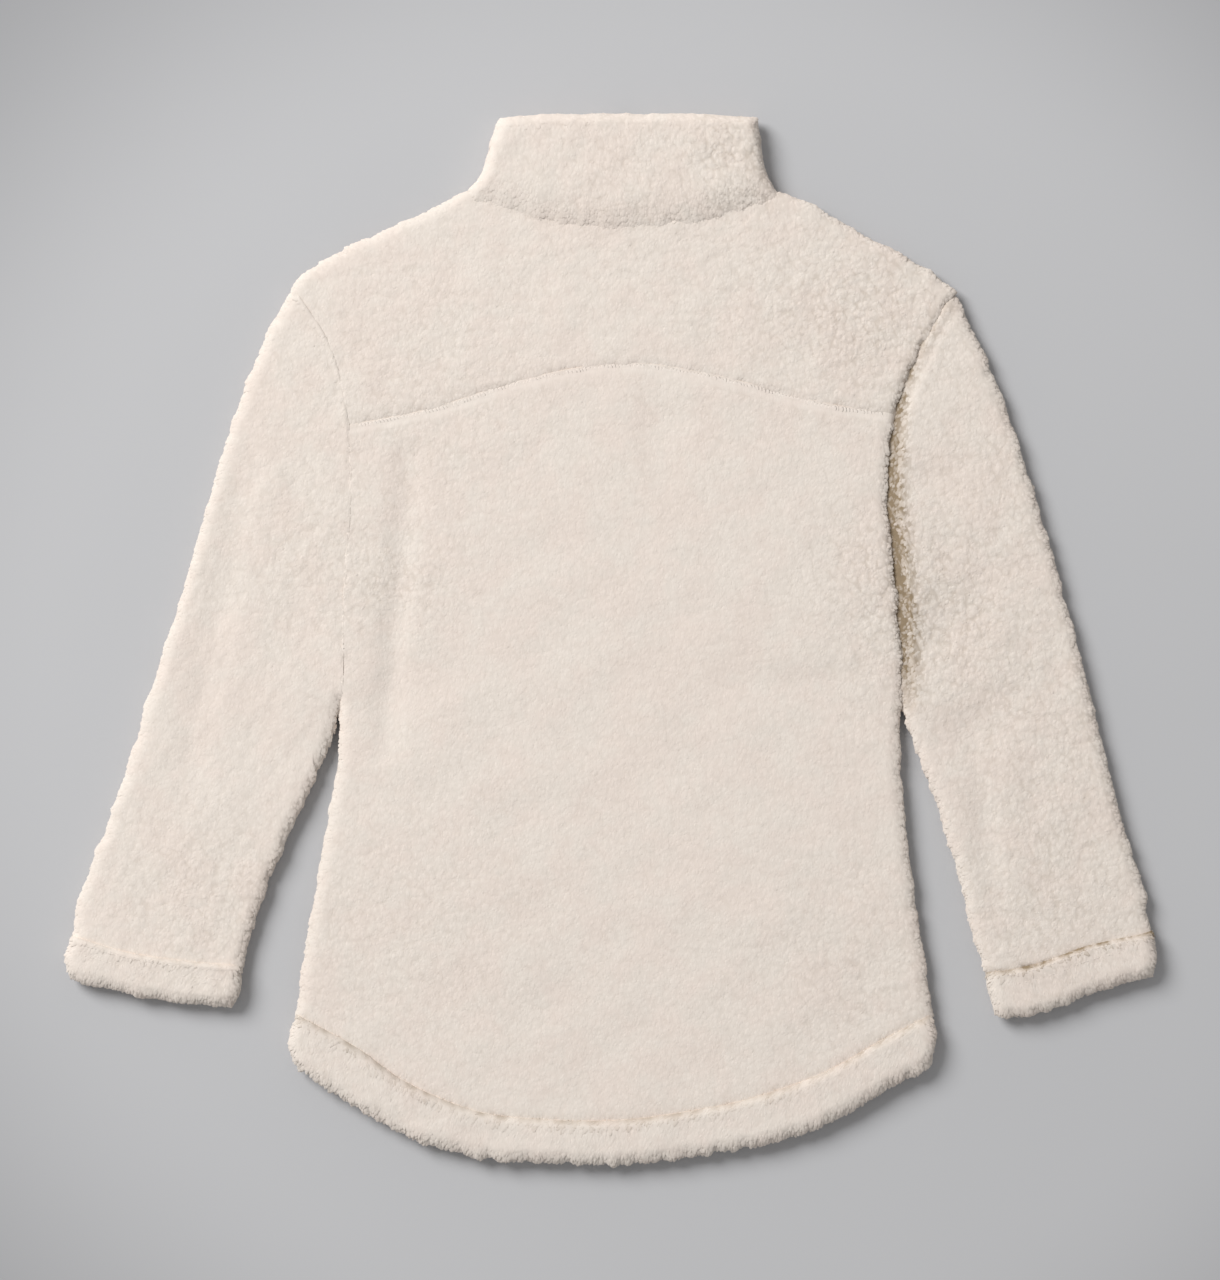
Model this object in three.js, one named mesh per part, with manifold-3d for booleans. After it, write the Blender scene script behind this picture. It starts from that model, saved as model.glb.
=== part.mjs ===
// High-pile fleece jacket laid flat on its front, with its back uppermost.
// Millimetres, +Z up. x grows towards the wearer's right sleeve, y towards the collar.
// The finished group is centred over the origin and its front rests on z = 0.

import * as THREE from 'three';
import { mergeVertices } from 'three/addons/utils/BufferGeometryUtils.js';
import Module from 'manifold-3d';

const wasm = await Module();
wasm.setup();

// ---- Driving dimensions -------------------------------------------------------------------
const SEAM_GAP = 0.4; // between two pieces at a seam
const BODY_LAYER = 6.9; // one layer of fleece, pile and half of the gap between layers
const COLLAR_LAYER = 9.6; // one side of the collar, folded double
const HEM_LAYER = 8.7; // one side of the hem band, folded double
const CUFF_LAYER = 8.5; // one side of a cuff band, folded double
const LAYER_GAP = 0.5; // between the two layers of a sleeve, cuff, collar or hem band
const SLIT_OVERRUN = 12; // of the cut between those layers, past both of its open ends

const FOLD = { dip: 0.87, roll: 9 }; // an outer edge, where the fleece rounds down to its fold
const SEAM = { dip: 0.26, roll: 7 }; // a sewn edge, which the stitching pulls down
const ZIP_EDGE = { dip: 0.2, roll: 4 }; // a front edge, turned back along the zip

const CENTRE_X = 8; // the centre back and the zip
const ZIP_OPENING = 11; // between the two front edges
const TAPE = { inner: 3.2, outer: 14.5, low: 5.1, high: 5.9 };
const TEETH = { halfWidth: 2.9, low: 4.3, high: 6.7 };
const ZIP = { top: 372, sliderY: 352, bottom: -362, box: 9 };
const ZIP_BOX = { halfWidth: 4.4, rise: 0.6 }; // rise above and below the teeth
const ZIP_STOP = { inner: 0.5, length: 3.4 };
const CLEARANCE = 0.3;
const BEYOND = 400; // past both ends of the jacket

// ---- Outline tables -----------------------------------------------------------------------
const TOP_Y = 252; // the shoulder points
const UNDERARM_Y = -45;
const HEM_SIDE_Y = -270; // where the side seams meet the hem band
const YOKE_SIDE_Y = { left: 154, right: 163 }; // where the yoke seam meets the armholes

const SHOULDER = {
  left: [
    { x: -230, y: TOP_Y },
    { x: -226, y: 259 },
    { x: -201, y: 276 },
    { x: -165, y: 293 },
    { x: -130, y: 310 },
    { x: -104, y: 323 },
  ],
  right: [
    { x: 120, y: 322 },
    { x: 146, y: 311 },
    { x: 172, y: 295 },
    { x: 209, y: 276 },
    { x: 236, y: 259 },
    { x: 245, y: TOP_Y },
  ],
};
const NECKLINE = [
  { x: -104, y: 323 },
  { x: -50, y: 306 },
  { x: CENTRE_X, y: 300 },
  { x: 66, y: 306 },
  { x: 120, y: 322 },
];
const YOKE_SEAM = [
  { x: -190, y: YOKE_SIDE_Y.left },
  { x: -131, y: 166 },
  { x: -81, y: 182 },
  { x: -38, y: 193 },
  { x: CENTRE_X, y: 199 },
  { x: 60, y: 193 },
  { x: 106, y: 182 },
  { x: 157, y: 169 },
  { x: 201, y: YOKE_SIDE_Y.right },
];
const ARMHOLE = [
  { y: TOP_Y, left: -230, right: 245 },
  { y: 212, left: -204, right: 222 },
  { y: 172, left: -193, right: 204 },
  { y: 140, left: -189, right: 198 },
  { y: 100, left: -189, right: 196 },
  { y: 28, left: -193, right: 203 },
  { y: UNDERARM_Y, left: -195, right: 207 },
];
const SIDE_SEAM = [
  { y: UNDERARM_Y, left: -195, right: 207 },
  { y: -94, left: -198, right: 207 },
  { y: -180, left: -213, right: 216 },
  { y: HEM_SIDE_Y, left: -228, right: 230 },
];
const HEM_SEAM = [
  { x: -228, y: HEM_SIDE_Y },
  { x: -184, y: -294 },
  { x: -150, y: -318 },
  { x: -97, y: -340 },
  { x: -45, y: -346 },
  { x: CENTRE_X, y: -346 },
  { x: 60, y: -339 },
  { x: 98, y: -331 },
  { x: 150, y: -313 },
  { x: 197, y: -287 },
  { x: 230, y: HEM_SIDE_Y },
];
const HEM_EDGE = [
  { x: -227, y: -309 },
  { x: -182, y: -338 },
  { x: -139, y: -361 },
  { x: -95, y: -373 },
  { x: -45, y: -377 },
  { x: CENTRE_X, y: -378 },
  { x: 77, y: -369 },
  { x: 121, y: -361 },
  { x: 164, y: -344 },
  { x: 207, y: -319 },
  { x: 230, y: -305 },
];
const HEM_END = {
  left: [
    { y: HEM_SIDE_Y, x: -228 },
    { y: -290, x: -233 },
    { y: -309, x: -227 },
  ],
  right: [
    { y: HEM_SIDE_Y, x: 230 },
    { y: -287, x: 233 },
    { y: -305, x: 230 },
  ],
};
const SLEEVE_OUTER = [
  { y: TOP_Y, left: -230, right: 245 },
  { y: 232, left: -242, right: 255 },
  { y: 208, left: -254, right: 267 },
  { y: 165, left: -271, right: 284 },
  { y: 93, left: -293, right: 308 },
  { y: 21, left: -314, right: 328 },
  { y: -51, left: -337, right: 347 },
  { y: -123, left: -360, right: 365 },
  { y: -181, left: -382, right: 383 },
  { y: -215, left: -390, right: 389 },
];
const SLEEVE_INNER = [
  { y: UNDERARM_Y, left: -195, right: 207 },
  { y: -80, left: -205, right: 219 },
  { y: -123, left: -225, right: 235 },
  { y: -166, left: -244, right: 248 },
  { y: -209, left: -260, right: 259 },
  { y: -240, left: -267, right: 269 },
];
const CUFF = {
  left: {
    seam: [
      { x: -390, y: -214 },
      { x: -349, y: -226 },
      { x: -310, y: -232 },
      { x: -267, y: -236 },
    ],
    edge: [
      { x: -391, y: -245 },
      { x: -335, y: -258 },
      { x: -300, y: -263 },
      { x: -274, y: -265 },
    ],
    outer: [
      { y: -214, x: -390 },
      { y: -230, x: -394 },
      { y: -245, x: -391 },
    ],
    inner: [
      { y: -236, x: -267 },
      { y: -251, x: -268 },
      { y: -265, x: -274 },
    ],
  },
  right: {
    seam: [
      { x: 389, y: -210 },
      { x: 342, y: -220 },
      { x: 303, y: -234 },
      { x: 269, y: -240 },
    ],
    edge: [
      { x: 389, y: -243 },
      { x: 352, y: -252 },
      { x: 318, y: -266 },
      { x: 290, y: -272 },
      { x: 276, y: -270 },
    ],
    outer: [
      { y: -210, x: 389 },
      { y: -227, x: 392 },
      { y: -243, x: 389 },
    ],
    inner: [
      { y: -240, x: 269 },
      { y: -255, x: 271 },
      { y: -270, x: 276 },
    ],
  },
};
const COLLAR_TOP = [
  { x: -82, y: 375 },
  { x: -40, y: 378 },
  { x: CENTRE_X, y: 378 },
  { x: 60, y: 378 },
  { x: 104, y: 375 },
];
const COLLAR_END = {
  left: [
    { y: 375, x: -82 },
    { y: 355, x: -89 },
    { y: 340, x: -93 },
    { y: 323, x: -104 },
  ],
  right: [
    { y: 375, x: 104 },
    { y: 355, x: 107 },
    { y: 340, x: 110 },
    { y: 322, x: 120 },
  ],
};

// The largest folds of the upper layer: a soft trough from one end to the other. A minus
// depth is a ridge.
const FOLDS = [
  { fromX: 214, fromY: 120, toX: 238, toY: 108, depth: 1.6, width: 16 },
  { fromX: 216, fromY: -10, toX: 262, toY: 34, depth: 1.5, width: 24 },
  { fromX: 232, fromY: -76, toX: 300, toY: -40, depth: 1.2, width: 26 },
  { fromX: -204, fromY: -12, toX: -252, toY: 40, depth: 1.4, width: 24 },
  { fromX: -222, fromY: -84, toX: -286, toY: -46, depth: 1.1, width: 26 },
  { fromX: -192, fromY: -58, toX: -130, toY: -20, depth: 1.2, width: 30 },
  { fromX: 200, fromY: -66, toX: 136, toY: -30, depth: 1.2, width: 30 },
  { fromX: -150, fromY: -150, toX: -60, toY: -240, depth: -1.0, width: 42 },
  { fromX: 60, fromY: -130, toX: 150, toY: -230, depth: -1.0, width: 44 },
];

// ---- Curves through the tables --------------------------------------------------------------
const { lerp, clamp } = THREE.MathUtils;

// Smooth height of a table's curve: the `to` column at a given place in its `from` column
function readTable(rows, from, to, place) {
  const rising = rows[rows.length - 1][from] > rows[0][from];
  const past = (row) => (rising ? row[from] >= place : row[from] <= place);
  const next = clamp(rows.findIndex(past), 1, rows.length - 1);
  const a = rows[next - 1];
  const b = rows[next];
  const slope = (first, last) => (last[to] - first[to]) / (last[from] - first[from]);
  const slopeA = slope(rows[Math.max(next - 2, 0)], b);
  const slopeB = slope(a, rows[Math.min(next + 1, rows.length - 1)]);
  const span = b[from] - a[from];
  const t = clamp((place - a[from]) / span, 0, 1);
  const eased = t * t * (3 - 2 * t);
  const bendA = t * (1 - t) * (1 - t) * slopeA * span;
  const bendB = t * t * (1 - t) * slopeB * span;
  return lerp(a[to], b[to], eased) + bendA - bendB;
}

// Points of a curve that runs across, y read at each x
function across(rows, xs) {
  return xs.map((x) => new THREE.Vector2(x, readTable(rows, 'x', 'y', x)));
}

// Points of a curve that runs down, x read at each y
function down(rows, column, ys) {
  return ys.map((y) => new THREE.Vector2(readTable(rows, 'y', column, y), y));
}

// Places from one end to the other: rows close to each end, even ones between
function places(from, to, count, nearStart = [], nearEnd = []) {
  const length = Math.abs(to - from);
  const fractions = [0, ...nearStart.map((d) => d / length)];
  for (let k = 1; k < count; k += 1) {
    fractions.push(k / count);
  }
  fractions.push(...nearEnd.map((d) => 1 - d / length), 1);
  return fractions.map((f) => lerp(from, to, f));
}

function lengthOf(line) {
  return line.slice(1).reduce((sum, p, k) => sum + p.distanceTo(line[k]), 0);
}

// How far along a line of points each of them lies, from 0 to 1
function fractionsOf(line) {
  const lengths = [0];
  for (let k = 1; k < line.length; k += 1) {
    lengths.push(lengths[k - 1] + line[k].distanceTo(line[k - 1]));
  }
  return lengths.map((length) => length / lengths[lengths.length - 1]);
}

// The point at a fraction of a line, on its straight stretches
function pointAt(line, fractions, f) {
  const next = clamp(fractions.findIndex((value) => value >= f), 1, line.length - 1);
  const t = (f - fractions[next - 1]) / (fractions[next] - fractions[next - 1]);
  return line[next - 1].clone().lerp(line[next], t);
}

// The stretch of a line on one side of an x, ending exactly on it, with no point too near that end
function cutAtX(line, x, side) {
  const nearest = 1;
  const keep = side === 'left' ? (p) => p.x < x - nearest : (p) => p.x > x + nearest;
  const kept = line.filter(keep);
  const edge = line.findIndex((p) => p.x > x);
  const t = (x - line[edge - 1].x) / (line[edge].x - line[edge - 1].x);
  const end = line[edge - 1].clone().lerp(line[edge], t);
  return side === 'left' ? [...kept, end] : [end, ...kept];
}

// ---- Patches and slabs ----------------------------------------------------------------------

// Grid of points that fills four edges. top and bottom run left to right, left and right run
// down, and the corners meet.
function fill({ top, bottom, left, right }) {
  const us = fractionsOf(top).map((f, i) => (f + fractionsOf(bottom)[i]) / 2);
  const vs = fractionsOf(left).map((f, j) => (f + fractionsOf(right)[j]) / 2);
  const blend = (u, v, axis, i, j) => {
    const edges = lerp(left[j][axis], right[j][axis], u) + lerp(top[i][axis], bottom[i][axis], v);
    const upper = lerp(top[0][axis], top[top.length - 1][axis], u);
    const lower = lerp(bottom[0][axis], bottom[bottom.length - 1][axis], u);
    return edges - lerp(upper, lower, v);
  };
  const pointOf = (u, v, i, j) => new THREE.Vector2(blend(u, v, 'x', i, j), blend(u, v, 'y', i, j));
  return vs.map((v, j) => us.map((u, i) => pointOf(u, v, i, j)));
}

// Indices of the points round a grid's border, in order
function borderOf(rows, columns) {
  const border = [];
  for (let i = 0; i < columns; i += 1) border.push([0, i]);
  for (let j = 1; j < rows; j += 1) border.push([j, columns - 1]);
  for (let i = columns - 2; i >= 0; i -= 1) border.push([rows - 1, i]);
  for (let j = rows - 2; j > 0; j -= 1) border.push([j, 0]);
  return border;
}

// Draws the border of a grid in by half a seam's gap
function inset(grid) {
  const border = borderOf(grid.length, grid[0].length);
  const line = border.map(([j, i]) => grid[j][i]);
  const turning = THREE.ShapeUtils.area(line) > 0 ? 1 : -1;
  const normals = line.map((p, k) => {
    const along = line[(k + 1) % line.length].clone().sub(p).normalize();
    return new THREE.Vector2(-along.y, along.x).multiplyScalar(turning);
  });
  const moved = line.map((p, k) => {
    const before = normals[(k + line.length - 1) % line.length];
    const sum = before.clone().add(normals[k]);
    const reach = Math.min(2 / Math.max(sum.lengthSq(), 0.01), 1.5);
    return p.clone().addScaledVector(sum, (reach * SEAM_GAP) / 2);
  });
  border.forEach(([j, i], k) => grid[j][i].copy(moved[k]));
  return grid;
}

// How much of its height a layer keeps at each grid point, from the roll of its four edges.
// An edge is { dip, roll }, or a function of the fraction along it that gives one.
function roundOver(grid, edges) {
  const column = (i) => grid.map((row) => row[i]);
  const fall = (edge, distance, f) => {
    const { dip, roll } = typeof edge === 'function' ? edge(f) : edge;
    const short = 1 - Math.min(distance / roll, 1);
    return 1 - dip * (1 - Math.sqrt(1 - short * short));
  };
  return grid.map((row, j) =>
    row.map((_, i) => {
      const rowSoFar = lengthOf(row.slice(0, i + 1));
      const columnSoFar = lengthOf(column(i).slice(0, j + 1));
      const u = rowSoFar / lengthOf(row);
      const v = columnSoFar / lengthOf(column(i));
      return (
        fall(edges.left, rowSoFar, v) *
        fall(edges.right, lengthOf(row) - rowSoFar, v) *
        fall(edges.top, columnSoFar, u) *
        fall(edges.bottom, lengthOf(column(i)) - columnSoFar, u)
      );
    }),
  );
}

// How deep the folds run at a point
function foldAt(point) {
  return FOLDS.reduce((sum, { fromX, fromY, toX, toY, depth, width }) => {
    const start = new THREE.Vector2(fromX, fromY);
    const run = new THREE.Vector2(toX - fromX, toY - fromY);
    const f = clamp(point.clone().sub(start).dot(run) / run.lengthSq(), 0, 1);
    const away = point.distanceTo(start.addScaledVector(run, f)) / width;
    return sum + depth * Math.exp(-2 * away * away) * Math.sin(Math.PI * lerp(0.2, 0.8, f));
  }, 0);
}

// Closed body between an upper and a lower height over one grid
function slab(grid, upper, lower) {
  const rows = grid.length;
  const columns = grid[0].length;
  const positions = [];
  for (const heights of [upper, lower]) {
    grid.forEach((row, j) => row.forEach((p, i) => positions.push(p.x, p.y, heights[j][i])));
  }
  const index = (j, i, layer) => layer * rows * columns + j * columns + i;
  const faces = [];
  for (let j = 0; j < rows - 1; j += 1) {
    for (let i = 0; i < columns - 1; i += 1) {
      const [a, b] = [index(j, i, 0), index(j + 1, i, 0)];
      const [c, d] = [index(j + 1, i + 1, 0), index(j, i + 1, 0)];
      const under = rows * columns;
      faces.push(a, b, c, a, c, d);
      faces.push(a + under, c + under, b + under, a + under, d + under, c + under);
    }
  }
  const border = borderOf(rows, columns);
  border.forEach(([j, i], k) => {
    const [nextJ, nextI] = border[(k + 1) % border.length];
    const [a, b] = [index(j, i, 0), index(nextJ, nextI, 0)];
    const [c, d] = [index(j, i, 1), index(nextJ, nextI, 1)];
    faces.push(a, b, d, a, d, c);
  });
  // A grid whose top edge runs the other way would come out inside out
  const outline = border.map(([j, i]) => grid[j][i]);
  if (THREE.ShapeUtils.area(outline) > 0) {
    faces.reverse();
  }
  const geometry = new THREE.BufferGeometry();
  geometry.setAttribute('position', new THREE.Float32BufferAttribute(positions, 3));
  geometry.setIndex(faces);
  return geometry;
}

// ---- Booleans --------------------------------------------------------------------------------
function solid(geometry) {
  const bare = geometry.clone();
  bare.deleteAttribute('normal');
  bare.deleteAttribute('uv');
  const merged = mergeVertices(bare, 1e-4);
  return new wasm.Manifold(
    new wasm.Mesh({
      numProp: 3,
      vertProperties: Float32Array.from(merged.attributes.position.array),
      triVerts: Uint32Array.from(merged.index.array),
    }),
  );
}

function geometryOf(body) {
  const { vertProperties, triVerts } = body.getMesh();
  const geometry = new THREE.BufferGeometry();
  geometry.setAttribute('position', new THREE.Float32BufferAttribute(vertProperties, 3));
  geometry.setIndex(new THREE.Uint32BufferAttribute(triVerts, 1));
  return geometry;
}

function box(lowX, highX, lowY, highY, lowZ, highZ) {
  const geometry = new THREE.BoxGeometry(highX - lowX, highY - lowY, highZ - lowZ);
  geometry.translate((lowX + highX) / 2, (lowY + highY) / 2, (lowZ + highZ) / 2);
  return solid(geometry);
}

// ---- Cloth pieces ----------------------------------------------------------------------------
const NEAR_FOLD = [1.5, 5, 10];
const NEAR_SEAM = [2.5, 7];
const backFirst = [...NEAR_SEAM].reverse();
const foldFirst = [...NEAR_FOLD].reverse();

const SIDES = ['left', 'right'];

// Places down the sides, shared by every piece that meets there
const yokeYs = (side) => places(TOP_Y, YOKE_SIDE_Y[side], 3, NEAR_FOLD, backFirst);
const armholeYs = (side) => places(YOKE_SIDE_Y[side], UNDERARM_Y, 6, NEAR_SEAM);
const sideYs = places(UNDERARM_Y, HEM_SIDE_Y, 6, [], backFirst);

const yokeSide = (side) => down(ARMHOLE, side, yokeYs(side));
const armholeSide = (side) => down(ARMHOLE, side, armholeYs(side));
const wholeArmhole = (side) => [...yokeSide(side), ...armholeSide(side).slice(1)];
const bodySide = (side) => [...armholeSide(side), ...down(SIDE_SEAM, side, sideYs).slice(1)];

// The shoulders and the neckline in one line, and the lines below it with as many points
const shoulderXs = {
  left: places(-230, -104, 4, NEAR_FOLD),
  right: places(120, 245, 4, [], foldFirst),
};
const NECK_CELLS = 8;
const neckXs = [...places(-104, CENTRE_X, NECK_CELLS / 2), ...places(CENTRE_X, 120, NECK_CELLS / 2).slice(1)];
const neckLine = across(NECKLINE, neckXs);
const topLine = [
  ...across(SHOULDER.left, shoulderXs.left),
  ...neckLine.slice(1, -1),
  ...across(SHOULDER.right, shoulderXs.right),
];
const centreIndex = shoulderXs.left.length - 1 + NECK_CELLS / 2;

// A line across below the shoulders, whose points lie as theirs do on each side of the centre
function lineBelow(rows) {
  const [left, right] = [rows[0].x, rows[rows.length - 1].x];
  const [topLeft, topRight] = [topLine[0].x, topLine[topLine.length - 1].x];
  const xs = topLine.map((p, k) => {
    const end = k <= centreIndex ? [left, topLeft] : [right, topRight];
    return lerp(CENTRE_X, end[0], (p.x - CENTRE_X) / (end[1] - CENTRE_X));
  });
  return across(rows, xs);
}
const yokeLine = lineBelow(YOKE_SEAM);
const hemLine = lineBelow(HEM_SEAM);
const hemEdgeLine = lineBelow(HEM_EDGE);

// Whether a place along the top line belongs to the neckline, which has the corners too
const CORNER_SHARE = 0.015;
const shoulderShare = (side, line) =>
  lengthOf(across(SHOULDER[side], shoulderXs[side])) / lengthOf(line) - CORNER_SHARE;
const isNeck = (u) => u > shoulderShare('left', topLine) && u < 1 - shoulderShare('right', topLine);

// A back panel: flat below, on the layer under it, and rounded over above
function backPanel(edges, rolls) {
  const grid = fill(edges);
  const keep = roundOver(grid, rolls);
  inset(grid);
  const floor = BODY_LAYER + LAYER_GAP / 2;
  const depth = BODY_LAYER - LAYER_GAP / 2;
  const upper = grid.map((row, j) => row.map((p, i) => floor + (depth - foldAt(p)) * keep[j][i]));
  const lower = grid.map((row) => row.map(() => floor));
  return slab(grid, upper, lower);
}

function backYoke() {
  const edges = { top: topLine, bottom: yokeLine, left: yokeSide('left'), right: yokeSide('right') };
  return backPanel(edges, { top: (u) => (isNeck(u) ? SEAM : FOLD), bottom: SEAM, left: SEAM, right: SEAM });
}

function backBody() {
  const edges = { top: yokeLine, bottom: hemLine, left: bodySide('left'), right: bodySide('right') };
  const underarm = (YOKE_SIDE_Y.left - UNDERARM_Y) / (YOKE_SIDE_Y.left - HEM_SIDE_Y);
  const side = (v) => (v < underarm ? SEAM : FOLD);
  return backPanel(edges, { top: SEAM, bottom: SEAM, left: side, right: side });
}

// A front panel: flat above and flat where it rests, with its outer edges rounded under.
// The turned-back edge at the zip is thin where the tape lies on it.
function frontPanel(side) {
  const outer = [...wholeArmhole(side), ...down(SIDE_SEAM, side, sideYs).slice(1)];
  const zipX = CENTRE_X + (side === 'left' ? -1 : 1) * (ZIP_OPENING / 2);
  const top = cutAtX(topLine, zipX, side);
  const bottom = cutAtX(hemLine, zipX, side);
  const endOf = (line) => (side === 'left' ? line[line.length - 1] : line[0]);
  const ends = [endOf(top), endOf(bottom)];
  const inner = fractionsOf(outer).map((f) => ends[0].clone().lerp(ends[1], f));
  const grid = fill({
    top,
    bottom,
    left: side === 'left' ? outer : inner,
    right: side === 'left' ? inner : outer,
  });
  const underarm = (TOP_Y - UNDERARM_Y) / (TOP_Y - HEM_SIDE_Y);
  const outerRoll = (v) => (v < underarm ? SEAM : FOLD);
  const shoulder = (u) => ((side === 'left' ? u : 1 - u) < shoulderShare(side, top) ? FOLD : SEAM);
  const keep = roundOver(grid, {
    top: shoulder,
    bottom: SEAM,
    left: side === 'left' ? outerRoll : ZIP_EDGE,
    right: side === 'left' ? ZIP_EDGE : outerRoll,
  });
  inset(grid);
  const ceiling = BODY_LAYER - LAYER_GAP / 2;
  const upper = grid.map((row) => row.map(() => ceiling));
  const lower = grid.map((row, j) => row.map((_, i) => ceiling * (1 - keep[j][i])));
  return geometryOf(solid(slab(grid, upper, lower)).subtract(tapeRoom(ceiling + 1)));
}

// A tube of fleece pressed flat: rounded over above and below, with a slit between its layers
function flatTube(edges, rolls, layer) {
  const grid = fill(edges);
  const keep = roundOver(grid, rolls);
  inset(grid);
  const upper = grid.map((row, j) => row.map((p, i) => layer + (layer - foldAt(p)) * keep[j][i]));
  const lower = grid.map((row, j) => row.map((_, i) => layer * (1 - keep[j][i])));
  return solid(slab(grid, upper, lower)).subtract(slit(edges, layer));
}

// The thin hollow of a flat tube, a layer's thickness in from its folds and open at both ends
function slit({ left, right }, layer) {
  const drawIn = (line, other) =>
    line.map((p, k) => p.clone().addScaledVector(other[k].clone().sub(p).normalize(), layer));
  const lengthen = (line) => {
    const first = line[0].clone().sub(line[1]).setLength(SLIT_OVERRUN).add(line[0]);
    const last = line[line.length - 1].clone().sub(line[line.length - 2]).setLength(SLIT_OVERRUN);
    return [first, ...line, last.add(line[line.length - 1])];
  };
  const loop = [...lengthen(drawIn(left, right)), ...lengthen(drawIn(right, left)).reverse()];
  const shape = new THREE.Shape(loop);
  const geometry = new THREE.ExtrudeGeometry(shape, { depth: LAYER_GAP, bevelEnabled: false });
  geometry.translate(0, 0, layer - LAYER_GAP / 2);
  return solid(geometry);
}

function sleeve(side) {
  const armhole = wholeArmhole(side);
  const fractions = fractionsOf(armhole);
  const nearUnderarm = foldFirst.map((d) => 1 - d / lengthOf(armhole));
  const stations = [...fractions, ...nearUnderarm].sort((a, b) => a - b);
  const { seam } = CUFF[side];
  const cuffX = stations.map((f) => lerp(seam[0].x, seam[seam.length - 1].x, f));
  const outerYs = places(TOP_Y, seam[0].y, 9, NEAR_SEAM, backFirst);
  const innerYs = places(UNDERARM_Y, seam[seam.length - 1].y, 9, NEAR_SEAM, backFirst);
  const edges = {
    top: stations.map((f) => pointAt(armhole, fractions, f)),
    bottom: across(seam, cuffX),
    left: down(SLEEVE_OUTER, side, outerYs),
    right: down(SLEEVE_INNER, side, innerYs),
  };
  const rolls = { top: SEAM, bottom: SEAM, left: FOLD, right: FOLD };
  return geometryOf(flatTube(edges, rolls, BODY_LAYER));
}

function cuff(side) {
  const { seam, edge, outer, inner } = CUFF[side];
  const along = (rows) => across(rows, places(rows[0].x, rows[rows.length - 1].x, 8, NEAR_FOLD, foldFirst));
  const endLine = (rows) => down(rows, 'x', places(rows[0].y, rows[2].y, 2, NEAR_SEAM, foldFirst.slice(1)));
  const edges = { top: along(seam), bottom: along(edge), left: endLine(outer), right: endLine(inner) };
  const rolls = { top: SEAM, bottom: FOLD, left: FOLD, right: FOLD };
  return geometryOf(flatTube(edges, rolls, CUFF_LAYER));
}

// Room for the zip's tapes between a folded band's turned-in edges, or on a front panel
function tapeRoom(highZ) {
  const reach = TAPE.outer + CLEARANCE;
  return box(
    CENTRE_X - reach,
    CENTRE_X + reach,
    ZIP.bottom,
    ZIP.top + CLEARANCE,
    TAPE.low - CLEARANCE,
    highZ,
  );
}

// The opening down the centre front of the collar and of the hem band
function zipOpening(layer) {
  const half = ZIP_OPENING / 2;
  return box(CENTRE_X - half, CENTRE_X + half, -BEYOND, BEYOND, -1, layer);
}

const COLLAR_NEAR_END = [2.5, 8];

function collar() {
  const ends = (side) => {
    const rows = COLLAR_END[side];
    const ys = places(rows[0].y, rows[rows.length - 1].y, 3, NEAR_FOLD.slice(0, 2), backFirst);
    return down(rows, 'x', ys);
  };
  const nearEnds = COLLAR_NEAR_END.map((d) => d / lengthOf(neckLine));
  const fractions = fractionsOf(neckLine);
  const stations = [...fractions, ...nearEnds, ...nearEnds.map((f) => 1 - f)].sort((a, b) => a - b);
  const edges = {
    top: across(COLLAR_TOP, stations.map((f) => lerp(COLLAR_TOP[0].x, COLLAR_TOP[4].x, f))),
    bottom: stations.map((f) => pointAt(neckLine, fractions, f)),
    left: ends('left'),
    right: ends('right'),
  };
  const rolls = { top: FOLD, bottom: SEAM, left: FOLD, right: FOLD };
  const tube = flatTube(edges, rolls, COLLAR_LAYER);
  return geometryOf(tube.subtract(zipOpening(COLLAR_LAYER)).subtract(tapeRoom(TAPE.high + CLEARANCE)));
}

function hemBand() {
  const ends = (side) => {
    const rows = HEM_END[side];
    return down(rows, 'x', places(rows[0].y, rows[2].y, 2, NEAR_SEAM, foldFirst.slice(1)));
  };
  const edges = { top: hemLine, bottom: hemEdgeLine, left: ends('left'), right: ends('right') };
  const rolls = { top: SEAM, bottom: FOLD, left: FOLD, right: FOLD };
  const tube = flatTube(edges, rolls, HEM_LAYER);
  return geometryOf(tube.subtract(zipOpening(HEM_LAYER)).subtract(tapeRoom(TAPE.high + CLEARANCE)));
}

// ---- Zip ---------------------------------------------------------------------------------------
const SLIDER = { halfWidth: 4.9, halfLength: 6, plate: 1.2, wedge: 3, wedgeHalf: 2.2 };
const BITE = 1; // how far what joins the plates runs into them
const SLIDER_FACE = TEETH.low - CLEARANCE - SLIDER.plate; // its outer face, towards the surface below
const BRIDGE = { halfWidth: 0.8, innerY: 2.6, outerY: 3.8, low: 0.4, bar: 0.65 };
const PULL = { pinRadius: 0.55, pinDrop: 0.95, width: 5.6, eyeWidth: 2.8, eyeLength: 4.7, length: 24 };
const PIN_Z = SLIDER_FACE - PULL.pinDrop;
const EYE_OVERLAP = 0.1; // of the pull's eye and its pin

function zipTape(side) {
  const sign = side === 'left' ? -1 : 1;
  const [near, far] = [CENTRE_X + sign * TAPE.inner, CENTRE_X + sign * TAPE.outer];
  const low = ZIP.bottom + ZIP.box + CLEARANCE;
  return geometryOf(box(Math.min(near, far), Math.max(near, far), low, ZIP.top, TAPE.low, TAPE.high));
}

function zipTeeth() {
  const { halfWidth, low, high } = TEETH;
  const bottom = ZIP.bottom + ZIP.box + CLEARANCE;
  const top = ZIP.sliderY + SLIDER.halfLength - SLIDER.wedge - CLEARANCE;
  return geometryOf(box(CENTRE_X - halfWidth, CENTRE_X + halfWidth, bottom, top, low, high));
}

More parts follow.
